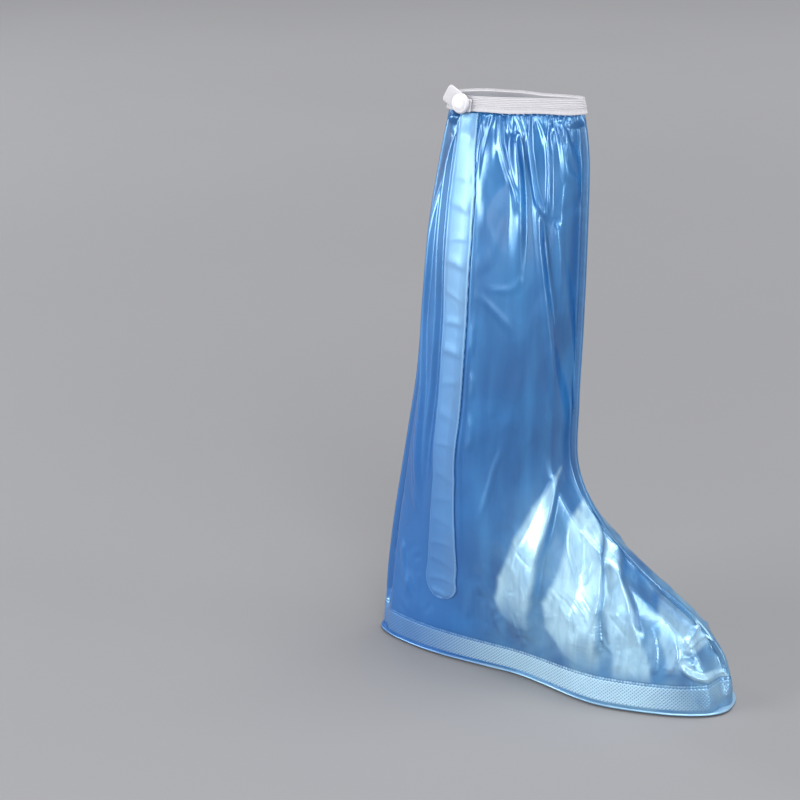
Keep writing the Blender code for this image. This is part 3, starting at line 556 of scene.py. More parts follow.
def addPiece(name, points, faces, material, replaced, uv=None, smooth=True, relief=None):
    mesh = bpy.data.meshes.new(name)
    mesh.from_pydata(np.asarray(points).reshape(-1, 3).tolist(), [], faces)
    mesh.validate()
    if uv is not None:
        layer = mesh.uv_layers.new(name="surface")
        corner = np.zeros(len(mesh.loops), np.int32)
        mesh.loops.foreach_get("vertex_index", corner)
        layer.data.foreach_set("uv", np.asarray(uv, np.float32)[corner].ravel())
    # a share for each point that the film materials turn into a painted highlight
    if relief is not None:
        attribute = mesh.attributes.new("relief", "FLOAT", "POINT")
        attribute.data.foreach_set("value", np.asarray(relief, np.float32).ravel())
    if smooth:
        mesh.shade_smooth()
        mesh.set_sharp_from_angle(angle=math.radians(58))
    mesh.materials.append(material)
    piece = addObject(name, mesh)
    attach(piece, "root")
    if replaced:
        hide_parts(*replaced)


def gridFaces(rows, columns, start, flip=False):
    index = start + np.arange(rows * columns).reshape(rows, columns)
    corners = [index[:-1, :-1], index[:-1, 1:], index[1:, 1:], index[1:, :-1]]
    if flip:
        corners = corners[::-1]
    return np.stack(corners, axis=-1).reshape(-1, 4).tolist()


def wallFaces(rows, columns, coarse):
    # faces of a closed wall: a fine outer grid, a coarse inner grid and the rims between them
    innerRows, innerColumns = (rows - 1) // coarse + 1, (columns - 1) // coarse + 1
    outer = np.arange(rows * columns).reshape(rows, columns)
    inner = rows * columns + np.arange(innerRows * innerColumns).reshape(innerRows, innerColumns)
    faces = gridFaces(rows, columns, 0) + gridFaces(innerRows, innerColumns, rows * columns, True)
    rims = ((outer[0], inner[0], True), (outer[-1], inner[-1], False),
            (outer[:, 0], inner[:, 0], False), (outer[:, -1], inner[:, -1], True))
    for outerEdge, innerEdge, flip in rims:
        for step in range(len(innerEdge) - 1):
            corners = list(outerEdge[step * coarse:(step + 1) * coarse + 1])
            corners += [innerEdge[step + 1], innerEdge[step]]
            faces.append([int(corner) for corner in (corners[::-1] if flip else corners)])
    return faces


def ringFaces(levels, count, start=0, flip=False):
    # faces of a tube of rings, closed at both ends
    index = start + np.arange(levels * count).reshape(levels, count)
    following = np.roll(index, -1, axis=1)
    sides = np.stack([index[:-1], following[:-1], following[1:], index[1:]], -1)
    faces = sides.reshape(-1, 4).tolist() + [index[0][::-1].tolist(), index[-1].tolist()]
    return [face[::-1] for face in faces] if flip else faces


def addWall(name, outer, inner, coarse, uv, material, replaced, relief=None, lining=0.0):
    # a closed wall between a fine outer grid and a coarse inner one
    points = np.concatenate([outer.reshape(-1, 3), inner.reshape(-1, 3)])
    uv = np.concatenate([uv.reshape(-1, 2), uv[::coarse, ::coarse].reshape(-1, 2)])
    if relief is not None:
        relief = np.concatenate([relief.ravel(), lining * relief[::coarse, ::coarse].ravel()])
    faces = wallFaces(*outer.shape[:2], coarse)
    addPiece(name, points, faces, material, replaced, uv, relief=relief)


def liningPoint(rise, turn, lift, coarse, wall):
    # the coarse inner side of a film wall, under the lowest film round each point
    sunk = lowestAround(lift, coarse)[::coarse, ::coarse]
    return filmPoint(rise[::coarse, ::coarse], turn[::coarse, ::coarse], -wall, sunk)


def lowestAround(values, reach):
    padded = np.pad(values, reach, mode="edge")
    rows, columns = values.shape
    steps = range(2 * reach + 1)
    shifted = [padded[down:down + rows, along:along + columns] for down in steps for along in steps]
    return np.min(shifted, axis=0)


# materials

def newMaterial(name):
    material = bpy.data.materials.new(name)
    material.use_nodes = True
    return material, material.node_tree, material.node_tree.nodes["Principled BSDF"]


def setInputs(tree, node, values):
    # each value is another node's output, a colour of three shares, a vector or a number
    for name, value in values.items():
        socket = node.inputs[name]
        if isinstance(value, bpy.types.NodeSocket):
            tree.links.new(value, socket)
        else:
            socket.default_value = (*value, 1.0) if socket.type == "RGBA" else value


def addNode(tree, kind, inputs, output=0, **settings):
    node = tree.nodes.new(kind)
    for setting, value in settings.items():
        setattr(node, setting, value)
    setInputs(tree, node, inputs)
    return node.outputs[output]


def objectPlace(tree):
    return addNode(tree, "ShaderNodeTexCoord", {}, "Object")


def noise(tree, place, scale, detail, distortion=0.0, output="Fac"):
    return addNode(tree, "ShaderNodeTexNoise", {
        "Vector": place, "Scale": scale, "Detail": detail, "Distortion": distortion}, output)


def stretched(tree, place, scale):
    return addNode(tree, "ShaderNodeMapping", {"Vector": place, "Scale": scale})


def ranged(tree, value, start, end, low=0.0, high=1.0, kind="SMOOTHSTEP"):
    # low where the value is at start, high where it is at end
    return addNode(tree, "ShaderNodeMapRange", {
        "Value": value, "From Min": start, "From Max": end, "To Min": low, "To Max": high},
        interpolation_type=kind)


def times(tree, first, second):
    return addNode(tree, "ShaderNodeMath", {0: first, 1: second}, operation="MULTIPLY")


def blended(tree, share, first, second, mode="MIX"):
    return addNode(tree, "ShaderNodeMixRGB", {
        "Fac": share, "Color1": first, "Color2": second}, blend_type=mode)


def bump(tree, strength, distance, height, **under):
    return addNode(tree, "ShaderNodeBump", {
        "Strength": strength, "Distance": distance, "Height": height, **under})


def colourRamp(tree, factor, stops):
    node = tree.nodes.new("ShaderNodeValToRGB")
    tree.links.new(factor, node.inputs["Fac"])
    elements = node.color_ramp.elements
    while len(elements) < len(stops):
        elements.new(0.5)
    for element, (place, colour) in zip(elements, stops):
        element.position = place
        element.color = (*colour, 1.0)
    return node.outputs["Color"]


film = {
    "deep": (0.003, 0.050, 0.215),
    "middle": (0.003, 0.068, 0.252),
    "pale": (0.012, 0.130, 0.390),
    "white": (0.50, 0.72, 0.86),
    "streakTone": (0.04, 0.23, 0.52),
    "streakPaler": 0.44,
    # painted light over the foot and on the instep facets, painted shade low on the heel:
    "footLightTone": (0.17, 0.31, 0.43),
    "facetHighlightTone": (0.36, 0.56, 0.69),
    "facetHighlightShare": (0.62, 1.0),
    "footLightShare": (0.2, 0.72),
    "heelShadeTone": (0.001, 0.080, 0.340),
    "heelShadeShare": 0.8,
    "metallic": 0.12,
    "indexOfRefraction": 2.65,
    "pearlTint": (0.34, 0.72, 1.0),
    "roughness": (0.29, 0.39),
    "coat": 0.7,
    "coatRoughness": 0.20,
    "cloudScale": 16.0,
    "patchScale": 32.0,
    "streakScale": (70, 70, 9),
    "veinScale": (120, 120, 26),
    "creaseScale": 48.0,
    "creaseBump": (0.04, 0.42),
    "grainScale": 900.0,
    "grainBump": 0.03,
}


def filmColour(tree, place, streaks, over, paler, reliefHighlight, facets):
    depth, height = (addNode(tree, "ShaderNodeSeparateXYZ", {"Vector": place}, axis) for axis in "YZ")
    stops = [(at, tuple(mix(value, goal, paler) for value, goal in zip(film[tone], film["white"])))
             for at, tone in ((0.30, "deep"), (0.50, "middle"), (0.72, "pale"))]
    colour = colourRamp(tree, noise(tree, place, film["cloudScale"], 4.0, 0.4), stops)
    share = ranged(tree, streaks, 0.45, 0.75, 0.0, film["streakPaler"], "LINEAR")
    colour = blended(tree, share, colour, film["streakTone"])
    # painted light: the film over the foot paler in patches, standing in for light through the film and off
    # the instep
    patches = noise(tree, place, film["patchScale"], 5.0, 0.8)
    patches = ranged(tree, patches, 0.35, 0.65, *film["footLightShare"], "LINEAR")
    colour = blended(tree, times(tree, over, patches), colour, film["footLightTone"])
    # painted shade: deeper low down on the heel side
    shade = times(tree, ranged(tree, depth, 0.02, 0.10), ranged(tree, height, 0.40, 0.16))
    colour = blended(tree, times(tree, shade, film["heelShadeShare"]), colour, film["heelShadeTone"])
    if not reliefHighlight and not facets:
        return colour
    relief = addNode(tree, "ShaderNodeAttribute", {}, "Fac", attribute_name="relief")
    if reliefHighlight:
        # painted highlight on what is raised, most by the arch and the ball of the foot
        ahead = ranged(tree, depth, 0.12, -0.02, reliefHighlight * 0.15, reliefHighlight)
        toeward = ranged(tree, depth, -0.075, -0.120, 1.0, 0.2, "LINEAR")
        colour = blended(tree, times(tree, times(tree, relief, ahead), toeward), colour, film["white"])
    # painted highlight on the broad instep facets, broken up into veins
    if facets:
        veins = noise(tree, stretched(tree, place, film["veinScale"]), 1.0, 4.0, 1.0)
        share = times(tree, relief, ranged(tree, veins, 0.36, 0.60, *film["facetHighlightShare"], "LINEAR"))
        colour = blended(tree, share, colour, film["facetHighlightTone"])
    return colour


def filmNormal(tree, place, over):
    # small creases, stronger over the foot, and a fine grain
    bent = blended(tree, 0.03, place, noise(tree, place, 30.0, 2.0, output="Color"))
    cells = addNode(tree, "ShaderNodeTexVoronoi", {
        "Vector": stretched(tree, bent, (1.7, 1.7, 0.5)), "Scale": film["creaseScale"]},
        "Distance", feature="DISTANCE_TO_EDGE")
    creased = bump(tree, ranged(tree, over, 0.0, 1.0, *film["creaseBump"], "LINEAR"), 0.002, cells)
    grain = noise(tree, place, film["grainScale"], 2.0)
    return bump(tree, film["grainBump"], 0.0003, grain, Normal=creased)


def makeFilmMaterial(name, paler=0.0, reliefHighlight=0.0, facets=False, rougher=0.0, coat=1.0):
    material, tree, shader = newMaterial(name)
    place = objectPlace(tree)
    streaks = noise(tree, stretched(tree, place, film["streakScale"]), 1.0, 3.0)
    # 1 over the foot, 0 on the shaft and at the heel
    depth, height = (addNode(tree, "ShaderNodeSeparateXYZ", {"Vector": place}, axis) for axis in "YZ")
    over = times(tree, ranged(tree, height, 0.19, 0.06), ranged(tree, depth, 0.075, -0.03))
    low, high = (rough + rougher for rough in film["roughness"])
    setInputs(tree, shader, {
        "Base Color": filmColour(tree, place, streaks, over, paler, reliefHighlight, facets),
        "Roughness": ranged(tree, streaks, 0.0, 1.0, low, high, "LINEAR"),
        "Normal": filmNormal(tree, place, over),
        "Metallic": film["metallic"], "IOR": film["indexOfRefraction"], "Specular Tint": film["pearlTint"],
        "Coat Weight": film["coat"] * coat, "Coat Roughness": film["coatRoughness"]})
    return material


# pearlFilm carries the painted highlight on the instep facets
filmMaterial = makeFilmMaterial("pearlFilm", facets=True)
# flapFilm and latticeFilm carry a painted highlight on what is raised
flapMaterial = makeFilmMaterial("flapFilm", paler=0.27, reliefHighlight=0.5, rougher=0.12, coat=0.4)
finMaterial = makeFilmMaterial("weldedEdge", paler=0.12)
borderMaterial = makeFilmMaterial("latticeFilm", reliefHighlight=1.6)
soleMaterial = makeFilmMaterial("soleFilm", paler=0.55)
print("film materials made")

# white pieces: tones as (place in the ramp, colour)
whites = {
    "yarnScale": 650.0,
    "weaveScale": 2200.0,
    "plasticScale": 240.0,
    "elasticTones": ((0.0, (0.40, 0.39, 0.43)), (0.55, (0.51, 0.505, 0.53)), (1.0, (0.57, 0.565, 0.58))),
    "buttonTones": ((0.3, (0.46, 0.46, 0.49)), (0.7, (0.52, 0.52, 0.55))),
}


def makeElasticMaterial():
    material, tree, shader = newMaterial("elastic")
    surface = addNode(tree, "ShaderNodeUVMap", {}, uv_map="surface")
    yarns = addNode(tree, "ShaderNodeTexWave", {
        "Vector": stretched(tree, surface, (1.0, 0.25, 1.0)), "Scale": whites["yarnScale"],
        "Distortion": 1.2, "Detail": 2.0, "Detail Scale": 2.0}, "Fac", bands_direction="X")
    woven = bump(tree, 0.35, 0.0003, yarns)
    fuzz = noise(tree, surface, whites["weaveScale"], 3.0)
    setInputs(tree, shader, {
        "Base Color": colourRamp(tree, yarns, whites["elasticTones"]),
        "Normal": bump(tree, 0.2, 0.0002, fuzz, Normal=woven),
        "Roughness": 0.75, "Sheen Weight": 0.1, "Sheen Roughness": 0.5, "Sheen Tint": (1.0, 0.96, 1.0)})
    return material


def makeButtonMaterial():
    material, tree, shader = newMaterial("snapPlastic")
    cloud = noise(tree, objectPlace(tree), whites["plasticScale"], 3.0)
    setInputs(tree, shader, {
        "Base Color": colourRamp(tree, cloud, whites["buttonTones"]),
        "Normal": bump(tree, 0.08, 0.0003, cloud), "Roughness": 0.32, "Coat Weight": 0.2,
        "Coat Roughness": 0.2, "Subsurface Weight": 0.08, "Subsurface Scale": 0.002})
    return material


elasticMaterial = makeElasticMaterial()
buttonMaterial = makeButtonMaterial()

# film panels

panel = {
    "rows": 336,
    "columns": 236,
    "coarse": 4,
    "rowCrowding": 1.12,
    "wall": 0.0006,
    "turnMargin": 0.0035,
}


def sideTurns(side, count):
    margin = panel["turnMargin"]
    start = 0.0 if side == "inner" else math.pi
    return start + mix(margin, math.pi - margin, np.linspace(0, 1, count + 1))


def makePanel(side):
    rows, columns, coarse = panel["rows"], panel["columns"], panel["coarse"]
    turns = sideTurns(side, columns)
    low = riseAtHeight(turns, shell["borderHeight"] + 0.0002)
    high = riseAtHeight(turns, bandFootHeight(turns) + shell["bandTuck"])
    shares = 1 - (1 - np.linspace(0, 1, rows + 1)) ** panel["rowCrowding"]
    rise = mix(low[None, :], high[None, :], shares[:, None])
    turn = np.broadcast_to(turns, rise.shape)
    lift = filmLift(rise, turn)
    # the relief attribute of the film panels carries the painted facet highlight
    addWall(side + "Film", filmPoint(rise, turn, 0.0, lift),
            liningPoint(rise, turn, lift, coarse, panel["wall"]), coarse, np.stack([turn, rise], -1),
            filmMaterial, [side + "_instep", side + "_shaft"], facetHighlightShare(rise, turn), 1.0)


for sideName in ("inner", "outer"):
    makePanel(sideName)
print("film panels made")

# lattice border round the foot

border = {
    "cell": 0.00068,          # a quarter of the lattice pitch
    "relief": 0.00055,
    "wall": 0.0009,
    "topMargin": 0.0021,
    "footMargin": 0.0012,
    "dotPitch": 0.0022,
    "dotRelief": 0.0004,
    "coarse": 4,
    "ridge": (1.0, 0.3, 0.0, 0.3),
}


def arcTurns(side, height, spacing, multiple):
    # turns at even steps of length along the border
    fine = sideTurns(side, 1200)
    length = runLength(skinPoint(riseAtHeight(fine, height), fine))
    count = int(round(length[-1] / spacing / multiple)) * multiple
    return np.interp(np.linspace(0, length[-1], count + 1), length, fine)


def makeBorder(side):
    cell, foot, top, coarse = border["cell"], shell["skinFoot"], shell["borderHeight"], border["coarse"]
    turns = arcTurns(side, top / 2, cell, 4)
    rows = int(round((top - foot) / cell / 4)) * 4
    turn = np.broadcast_to(turns, (rows + 1, len(turns)))
    row, column = np.meshgrid(np.arange(rows + 1), np.arange(len(turns)), indexing="ij")
    height = np.linspace(foot, top, rows + 1)[row]
    rise = riseAtHeight(turn, height)
    # the lattice, flat at both edges and worn away low down at the toe
    ridge = np.array(border["ridge"])
    pattern = np.maximum(ridge[(row + column) % 4], ridge[(row - column) % 4])
    upper = smoothStep((top - border["topMargin"] - height) / cell)
    lower = smoothStep((height - foot - border["footMargin"]) / (2 * cell))
    toe = np.abs(turn - math.pi)
    worn = 1 - 0.85 * smoothStep((0.42 - toe) / 0.2) * smoothStep((0.012 - height) / 0.004)
    dots = np.cos(2 * math.pi * column * cell / border["dotPitch"]) > 0
    weld = np.exp(-((height - top + 0.0011) / 0.00045) ** 2) * np.where(dots, 1.0, 0.25)
    lift = border["relief"] * pattern * upper * lower * worn + border["dotRelief"] * weld
    base = filmLift(rise, turn)
    # the raised lattice and the weld dots carry a painted highlight through the relief attribute
    addWall(side + "Border", filmPoint(rise, turn, 0.0, base + lift),
            liningPoint(rise, turn, base, coarse, border["wall"]), coarse, np.stack([column, row], -1) * cell,
            borderMaterial, [side + "_border"], np.clip(lift / border["relief"], 0, 1))


for sideName in ("inner", "outer"):
    makeBorder(sideName)
print("border made")

# welded fins along the front and the back

fin = {
    "rows": 560,
    # depth from the edge inwards, fullness
    "section": ((0.0, 0.25), (0.0003, 0.7), (0.0008, 1.0), (0.0016, 1.0), (0.0024, 1.0), (0.0031, 1.0),
                (0.0036, 1.0), (0.0042, 0.92)),
    "proud": 0.00025,
    "wall": 0.00035,
    "ribPitch": 0.0014,
    "ribRelief": 0.00005,
    "lineRelief": 0.00022,
}


def makeFin(name, centre, replaced):
    topRise = float(riseAtHeight(centre, bandFootHeight(centre) - 0.0006))
    footRise = float(riseAtHeight(centre, shell["skinFoot"] + 0.0002))
    rises = np.linspace(footRise, topRise, fin["rows"] + 1)
    edge = skinPoint(rises, np.full_like(rises, centre), False)
    inward = np.sign(skinPoint(0.5, math.pi / 2, False)[1] - skinPoint(0.5, centre, False)[1])
    tangent = unit(np.gradient(edge, axis=0))
    # straight in from the edge, square to its run, in the plane of the fin
    into = unit(np.stack([np.zeros(len(rises)), inward * np.abs(tangent[:, 2]),
                          -inward * tangent[:, 1] * np.sign(tangent[:, 2])], -1))
    length = runLength(edge)
    depths, fullness = np.array(fin["section"]).T
    half = (shell["finHalf"] + fin["proud"]) * fullness
    ribs = fin["ribRelief"] * np.cos(2 * math.pi * length / fin["ribPitch"])
    line = fin["lineRelief"] * np.exp(-((depths - 0.0012) / 0.0004) ** 2)
    outside = half + line + ribs[:, None] * (fullness > 0.9)
    inside = np.broadcast_to(half * 0.9 - fin["wall"], outside.shape)

    def face(sign, depth, away):
        place = edge[:, None, :] + into[:, None, :] * depth[None, :, None]
        place[..., 0] = sign * away
        return place

    deep = np.maximum(depths, 0.0008)
    loop = np.concatenate([face(-1, depths, outside)[:, ::-1], face(1, depths, outside),
                           face(1, deep, inside)[:, ::-1], face(-1, deep, inside)], axis=1)
    rows, columns = loop.shape[:2]
    uv = np.stack(np.broadcast_arrays(np.arange(columns) * 0.001, length[:, None]), -1).reshape(-1, 2)
    addPiece(name, loop, ringFaces(rows, columns, flip=inward < 0), finMaterial, replaced, uv)


makeFin("frontSeam", math.pi, ["front_seam"])
makeFin("backSeam", 0.0, ["back_seam"])
print("welded fins made")


# closing flap

def makeFlap():
    coarse = flap["coarse"]
    low = float(riseAtHeight(float(flapTurn(0.15)), flap["footHeight"]))
    top = float(riseAtHeight(flapTurn(1.0), bandFootHeight(flapTurn(1.0)) - 0.0012))
    rises = np.linspace(low, top, flap["rows"] + 1)
    centre = flapTurn(rises)
    length = runLength(skinPoint(rises, centre, False))
    half = flapWidth(rises) / 2
    tip = np.clip(length / half[0], 0, 1)
    fullness = np.sqrt(np.clip(1 - (1 - tip) ** 2, 0.012, 1))
    across = np.linspace(-1, 1, flap["columns"] + 1)
    across = mix(across, np.sin(across * math.pi / 2), 0.7)
    rim = np.abs(across)
    tooth = (np.abs((length / flap["toothPitch"]) % 1 - 0.5) * 4 - 1)[:, None]
    edge = across * (half * fullness)[:, None] + np.sign(across) * (rim > 0.99) * tooth * flap["toothReach"]
    turn = centre[:, None] + edge / turnLength(rises, centre)[:, None]
    rise = np.broadcast_to(rises[:, None], edge.shape)
    # raised on its heel side, sinking to the film on its toe side
    lift = np.broadcast_to(np.interp(across, *np.array(flap["profile"]).T) * mm, edge.shape).copy()
    inside = 1 - smoothStep((rim - 0.55) / 0.45)
    for place, lean, height, reach in flap["wrinkles"]:
        at = np.interp(place, rises, length)
        offset = length[:, None] - at + edge * math.tan(math.radians(lean)) + 18 * edge ** 2
        lift += height * mm * np.exp(-(offset / (reach * mm * np.where(offset > 0, 0.62, 0.4))) ** 2) * inside
    # the stitched line and the welded bead inside the edge
    grooves = np.exp(-((rim - flap["groovePlace"]) / 0.035) ** 2)
    stitches = 0.6 + 0.4 * np.cos(2 * math.pi * length / flap["toothPitch"])
    lift -= flap["grooveDepth"] * grooves * stitches[:, None]
    foot = np.exp(-((length - 0.0008) / 0.0004) ** 2)[:, None]
    bead = np.minimum(np.exp(-((rim - flap["beadPlace"]) / 0.03) ** 2) + foot, 1.0)
    lift += flap["bead"] * bead * (0.75 + 0.25 * tooth)
    under = filmLift(rise, turn)
    inner = filmPoint(rise[::coarse, ::coarse], turn[::coarse, ::coarse], 0.0,
                      (under + 0.0001 + np.minimum(lift, 0.0001))[::coarse, ::coarse])
    # the bead and its teeth carry a painted highlight through the relief attribute
    addWall("closingFlap", filmPoint(rise, turn, flap["lift"], under + lift), inner, coarse,
            np.stack(np.broadcast_arrays(across, length[:, None]), -1), flapMaterial,
            ["closing_flap"], bead * (0.7 + 0.3 * tooth))


makeFlap()
print("closing flap made")

# sole: a thin flange with a ribbed tread under it

sole = {
    "columns": 360,
    "treadInset": 0.004,
    "rimInset": 0.0014,
    "ribPitch": 0.0062,
    "ribWidth": 0.0026,
    "ribTop": 0.0009,
    "ribSteps": 18,
    "ribSlant": 0.0035,
    "rimWave": 0.00004,
    # inset, height: from the underside round the rim to the top
    "flange": ((0.0046, 0.0006), (0.0042, 0.0006), (0.0040, 0.0009), (0.0040, 0.0015), (0.0030, 0.0017),
               (0.0006, 0.0016), (0.0001, 0.0019), (0.0, 0.0023), (0.0002, 0.0028), (0.0007, 0.0030),
               (0.0026, 0.0031), (0.0036, 0.0030)),
}


def soleOutline(inset, height, wave=0.0):
    turn = np.linspace(0, 2 * math.pi, sole["columns"], endpoint=False)
    flat = np.zeros_like(turn)
    width = loopWidth(np.array(shell["sections"][0]), turn)
    line = np.stack([-np.copysign(width, np.sin(turn)), np.cos(turn) / 2 * shell["soleLength"], flat], -1)
    ahead = np.roll(line, -1, axis=0) - np.roll(line, 1, axis=0)
    outward = unit(np.stack([-ahead[:, 1], ahead[:, 0], flat], -1))
    outward *= np.sign(np.einsum("ij,ij->i", outward, line))[:, None]
    line = line - outward * inset
    line[:, 2] = height + wave * (np.sin(turn * 23) + 0.6 * np.sin(turn * 41 + 1.3))
    return line


def makeSole():
    loops = [soleOutline(inset + sole["rimInset"], height, sole["rimWave"] if inset < 0.001 else 0.0)
             for inset, height in sole["flange"]]
    points = np.concatenate(loops)
    faces = ringFaces(len(loops), sole["columns"])
    addPiece("sole", points, faces, soleMaterial, ["sole"], points[:, :2])


def makeTread():
    edge = soleOutline(sole["treadInset"] + 0.0012, 0.0)
    half = sole["columns"] // 2
    inner = edge[:half + 1]
    outer = np.vstack([edge[half:], edge[:1]])[::-1]
    section = ((-0.5, 0.0), (0.5, 0.0), (0.62, sole["ribTop"]), (-0.62, sole["ribTop"]))
    shares = np.linspace(0, 1, sole["ribSteps"] + 1)
    points = []
    faces = []
    for y in np.arange(inner[:, 1].min() + 0.006, inner[:, 1].max() - 0.004, sole["ribPitch"]):
        ys = y + sole["ribSlant"] * (np.abs((shares * 6) % 2 - 1) - 0.5)
        xs = mix(*(np.interp(-ys, -side[:, 1], side[:, 0]) for side in (inner, outer)), shares)
        faces += ringFaces(len(shares), len(section), len(points))
        points += [(x, place + offset * sole["ribWidth"], z)
                   for x, place in zip(xs, ys) for offset, z in section]
    points = np.array(points)
    addPiece("soleTread", points, faces, soleMaterial, [], points[:, :2], smooth=False)


makeSole()
makeTread()
print("sole made")

# elastic band with its stitches

band = {
    "columns": 420,
    "meanRadius": 0.034,
    "wall": 0.0014,
    "gap": 0.0003,
    # height, how far the face is sunk
    "hem": ((0.00015, 0.0005), (0.0, 0.0002), (0.0003, 0.0), (0.0012, 0.0), (0.0020, 0.00006),
            (0.0026, 0.00022), (0.0032, 0.00006)),
    "ribs": 6,
    "ribPitch": 0.00112,
    "ribRelief": 0.00048,
    "ribFoot": 0.0039,
    "stitchHeight": 0.0026,
    "stitchPitch": 0.0024,
    "stitchLength": 0.0013,
    "stitchRadius": 0.00014,
    "ripple": 0.00009,
    "ripplePitch": 0.0046,
}


def bandFrame(turn):
    foot = bandFootHeight(turn)
    footRise = riseAtHeight(turn, foot)
    outward = skinNormal(footRise, turn, False)
    outward[..., 2] = 0
    return skinPoint(footRise, turn, False), skinPoint(np.ones_like(turn), turn, False), unit(outward)


def bandProfile():
    # (height, offset) up the ribbed face, over the top and down the inner face
    face, gap, top, pitch = band["gap"] + band["wall"], band["gap"], shell["bandHeight"], band["ribPitch"]
    points = [(height, face - sunk) for height, sunk in band["hem"]]
    for rib in range(band["ribs"]):
        start = band["ribFoot"] + rib * pitch
        points += [(start + share * pitch, face + relief * band["ribRelief"] - 0.00004)
                   for share, relief in ((0.0, 0.0), (0.22, 0.75), (0.5, 1.0), (0.78, 0.75))]
    points += [(top - 0.0001, face - 0.0001), (top, face - 0.0005), (top, gap + 0.0004),
               (top - 0.0003, gap + 0.0001)]
    for rib in range(5):
        start = top - 0.0016 - rib * 0.0018
        points += [(start + 0.0009, gap + 0.00012), (start, gap)]
    return np.array(points + [(0.0002, gap + 0.0002)])


def bandRipple(turn, height):
    length = turn * band["meanRadius"]
    uneven = 1.7 * np.sin(turn * 5) + 0.8 * np.sin(turn * 11)
    wave = np.sin(2 * math.pi * length / band["ripplePitch"] + uneven)
    low = 1 - smoothStep(height / 0.005)
    return wave * band["ripple"] * (0.35 + 0.65 * low)


def makeBand():
    turn = np.linspace(0, 2 * math.pi, band["columns"], endpoint=False)
    foot, top, outward = bandFrame(turn)
    profile = bandProfile()
    share = profile[:, 0] / shell["bandHeight"]
    points = mix(foot[:, None], top[:, None], share[None, :, None])
    ripple = bandRipple(turn[:, None], profile[None, :, 0])
    points = points + outward[:, None] * (profile[None, :, 1] + ripple)[..., None]
    points[..., 2] += (ripple * 1.1 + 0.00025 * np.sin(turn * 7)[:, None]) * (1 - share[None, :]) * 0.8
    index = np.arange(points[..., 0].size).reshape(points.shape[:2])
    ahead = np.roll(index, -1, axis=0)
    faces = np.stack([index, ahead, np.roll(ahead, -1, axis=1), np.roll(index, -1, axis=1)], -1)
    uv = np.stack(np.broadcast_arrays((turn * band["meanRadius"])[:, None], runLength(profile)), -1)
    addPiece("elasticBand", points, faces.reshape(-1, 4).tolist(), elasticMaterial,
             ["elastic_band"], uv.reshape(-1, 2))


def makeStitches():
    points = []
    faces = []
    fine = np.linspace(0, 2 * math.pi, 1400)
    length = runLength(bandFrame(fine)[0])
    count = int(length[-1] / band["stitchPitch"])
    share = band["stitchHeight"] / shell["bandHeight"]
    thickness = band["stitchRadius"] * np.array([0.35, 0.9, 1.0, 0.9, 0.35])
    arch = 0.00022 * np.sin(np.linspace(0, math.pi, len(thickness)))
    for number in range(count):
        start = number * length[-1] / count
        turns = np.interp(np.linspace(start, start + band["stitchLength"], len(thickness)), length, fine)
        base, over, out = bandFrame(turns)
        offset = band["gap"] + band["wall"] - 0.00016 + bandRipple(turns, band["stitchHeight"]) + arch
        centre = mix(base, over, share) + out * offset[:, None]
        faces += ringFaces(len(thickness), 6, len(points), True)
        for place, outDirection, upDirection, size in zip(centre, out, unit(over - base), thickness):
            for corner in range(6):
                angle = corner * math.pi / 3
                points.append(place + size * (math.cos(angle) * outDirection + math.sin(angle) * upDirection))
    uv = np.zeros((len(points), 2))
    addPiece("bandStitches", np.array(points), faces, elasticMaterial, [], uv)


makeBand()
makeStitches()
print("elastic band made")

# snap tab and button

snap = {
    "turn": 44.0,
    "place": 0.53,
    "diameter": 0.0138,
    "height": 0.0026,
    "tabWall": 0.0010,
    "tabRoot": 0.0076,
    "tabReach": 0.0145,
    "tabWidth": 0.0126,
    "tabLift": 24.0,
    "tabGrid": (64, 28, 2),   # rows, columns and how many of them meet one step of the underside
    "tabCorner": 0.0022,
    "gap": 0.0003,
    "proud": 0.0003,
    "sides": 72,
    # share of the radius, height over the seat
    "rim": ((0.93, 0.0), (0.985, 0.0002), (1.0, 0.0006), (0.99, 0.0011), (0.955, 0.0016)),
    # share of the radius, drop from the crown
    "crown": ((0.89, 0.0006), (0.80, 0.00035), (0.74, 0.00042), (0.68, 0.0003), (0.52, 0.0001), (0.32, 0.0),
              (0.12, 0.0)),
}


def snapPlace():
    # the foot of the strap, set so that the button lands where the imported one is
    turn = np.array([math.radians(snap["turn"])])
    foot, top, outward = (row[0] for row in bandFrame(turn))
    upward = unit(top - foot)
    heelward = unit(np.cross(upward, outward))
    if heelward[1] < 0:
        heelward = -heelward
    outward = np.cross(heelward, upward)
    if outward @ foot < 0:
        outward = -outward
    centre = mix(foot, top, snap["place"])
    middle = np.mean(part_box("snap_button"), axis=0)
    under = snap["height"] / 2 + snap["tabWall"] + 2 * snap["gap"]
    stand = (middle - centre) @ outward - under + snap["proud"]
    return centre + outward * stand, outward, heelward, upward


snapCentre, snapOutward, snapHeelward, snapUpward = snapPlace()


def onSnap(sideways, up, out):
    return (snapCentre + snapHeelward * np.asarray(sideways)[..., None]
            + snapUpward * np.asarray(up)[..., None] + snapOutward * np.asarray(out)[..., None])


